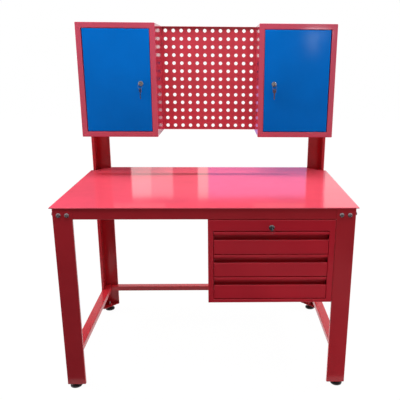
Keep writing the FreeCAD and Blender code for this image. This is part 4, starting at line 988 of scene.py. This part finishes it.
def make_cards():
    """Cards behind the bench that the worktop mirrors as bands, two in front that the right
    door mirrors as its highlight, and a dark one on the floor that the low fronts mirror."""
    behind, low_z, top_z = 1600, 850, 1208
    bands = (("Left_band", -1500, -566, (0.08, 0.06, 0.08)),
             ("Grey_band", -430, -278, (0.68, 0.66, 0.70)),
             ("Dark_band", -278, -103, (0.24, 0.18, 0.22)),
             ("Lilac_band", -32, 657, (0.50, 0.41, 0.90)),
             ("Right_band", 657, 792, (0.36, 0.32, 0.38)))
    for name, low, high, colour in bands:
        reflection_card(name, [(low, behind, low_z), (high, behind, low_z),
                               (high, behind, top_z), (low, behind, top_z)], colour)
    reflection_card("Upper_band", [(-2000, behind, top_z), (792, behind, top_z),
                                   (792, behind, 1340), (-2000, behind, 1340)],
                    (0.06, 0.03, 0.08))
    for name, outline in (
            ("Door_highlight", [(548, 1470), (676, 1482), (676, 1506), (548, 1506)]),
            ("Door_highlight_tail", [(580, 1370), (600, 1370), (616, 1485), (556, 1485)])):
        reflection_card(name, [(x, -200, z) for x, z in outline], (0.85, 0.95, 1.0), 20.0)
    reflection_card("Front_floor_card", [(-2500, -5200, 4), (2500, -5200, 4), (2500, -60, 4),
                                         (-2500, -60, 4)], (0.06, 0.05, 0.05))


def make_flag():
    """Narrow flag close over the rear of the worktop: the line of shade across it."""
    outline = [(-570, 577), (-510, 556), (390, 558), (460, 577), (390, 596), (-510, 598)]
    corners = to_row([(x, y, TOP + 12) for x, y in outline])
    stage_sheet("Studio_flag", corners, ("camera", "glossy", "transmission"))


def make_world():
    """White background to look at, and a faint sky to light with."""
    world = bpy.data.worlds.new("Studio")
    bpy.context.scene.world = world
    nodes, links, output = shader_tree(world, "ShaderNodeOutputWorld")
    sky = shader_node(nodes, "ShaderNodeBackground", (("Color", (0.9, 0.95, 1.0, 1.0)),
                                                      ("Strength", 0.10)))
    white = shader_node(nodes, "ShaderNodeBackground", (("Color", (1.0, 1.0, 1.0, 1.0)),))
    mix = nodes.new("ShaderNodeMixShader")
    links.new(seen_rays(nodes, links), mix.inputs[0])
    links.new(sky.outputs[0], mix.inputs[1])
    links.new(white.outputs[0], mix.inputs[2])
    links.new(mix.outputs[0], output.inputs[0])


def make_floor():
    """Floor that looks white but for the object's soft shadow, which fades out a few metres
    away, and that sends little light back up."""
    floor = stage_sheet("Studio_floor", [(-9, -9, 0), (9, -9, 0), (9, 9, 0), (-9, 9, 0)])
    material = bpy.data.materials.new("Pale floor")
    nodes, links, output = shader_tree(material, "ShaderNodeOutputMaterial")
    matt = shader_node(nodes, "ShaderNodeBsdfDiffuse", (("Color", (0.80, 0.80, 0.80, 1.0)),))
    glow = shader_node(nodes, "ShaderNodeEmission", (("Strength", 1.01),))
    dim = shader_node(nodes, "ShaderNodeBsdfDiffuse", (("Color", (0.25, 0.25, 0.25, 1.0)),))
    place = nodes.new("ShaderNodeTexCoord")
    distance = nodes.new("ShaderNodeVectorMath")
    distance.operation = "LENGTH"
    fade = shader_node(nodes, "ShaderNodeMapRange", (("From Min", 1.0), ("From Max", 2.6),
                                                     ("To Min", 0.97), ("To Max", 1.0)))
    shown = nodes.new("ShaderNodeMixShader")
    mix = nodes.new("ShaderNodeMixShader")
    links.new(place.outputs["Object"], distance.inputs[0])
    links.new(distance.outputs["Value"], fade.inputs["Value"])
    links.new(fade.outputs["Result"], shown.inputs[0])
    links.new(matt.outputs[0], shown.inputs[1])
    links.new(glow.outputs[0], shown.inputs[2])
    links.new(seen_rays(nodes, links), mix.inputs[0])
    links.new(dim.outputs[0], mix.inputs[1])
    links.new(shown.outputs[0], mix.inputs[2])
    links.new(mix.outputs[0], output.inputs[0])
    floor.data.materials.append(material)


make_worktop()
make_legs()
make_aprons()
make_stretchers()
make_corner_plates()
make_fasteners()
make_feet()
make_unit()
for index, name in enumerate(DRAWERS):
    make_drawer(name, drawer_bottom(index))
make_runners()
for side, hand in SIDES:
    make_cabinet(side, hand)
make_brackets_and_pins()
make_peg_panel()
make_locks()
make_camera()
make_world()
make_floor()
for lamp in LAMPS:
    area_light(*lamp)
make_cards()
make_flag()
bpy.context.scene.view_settings.view_transform = "Standard"
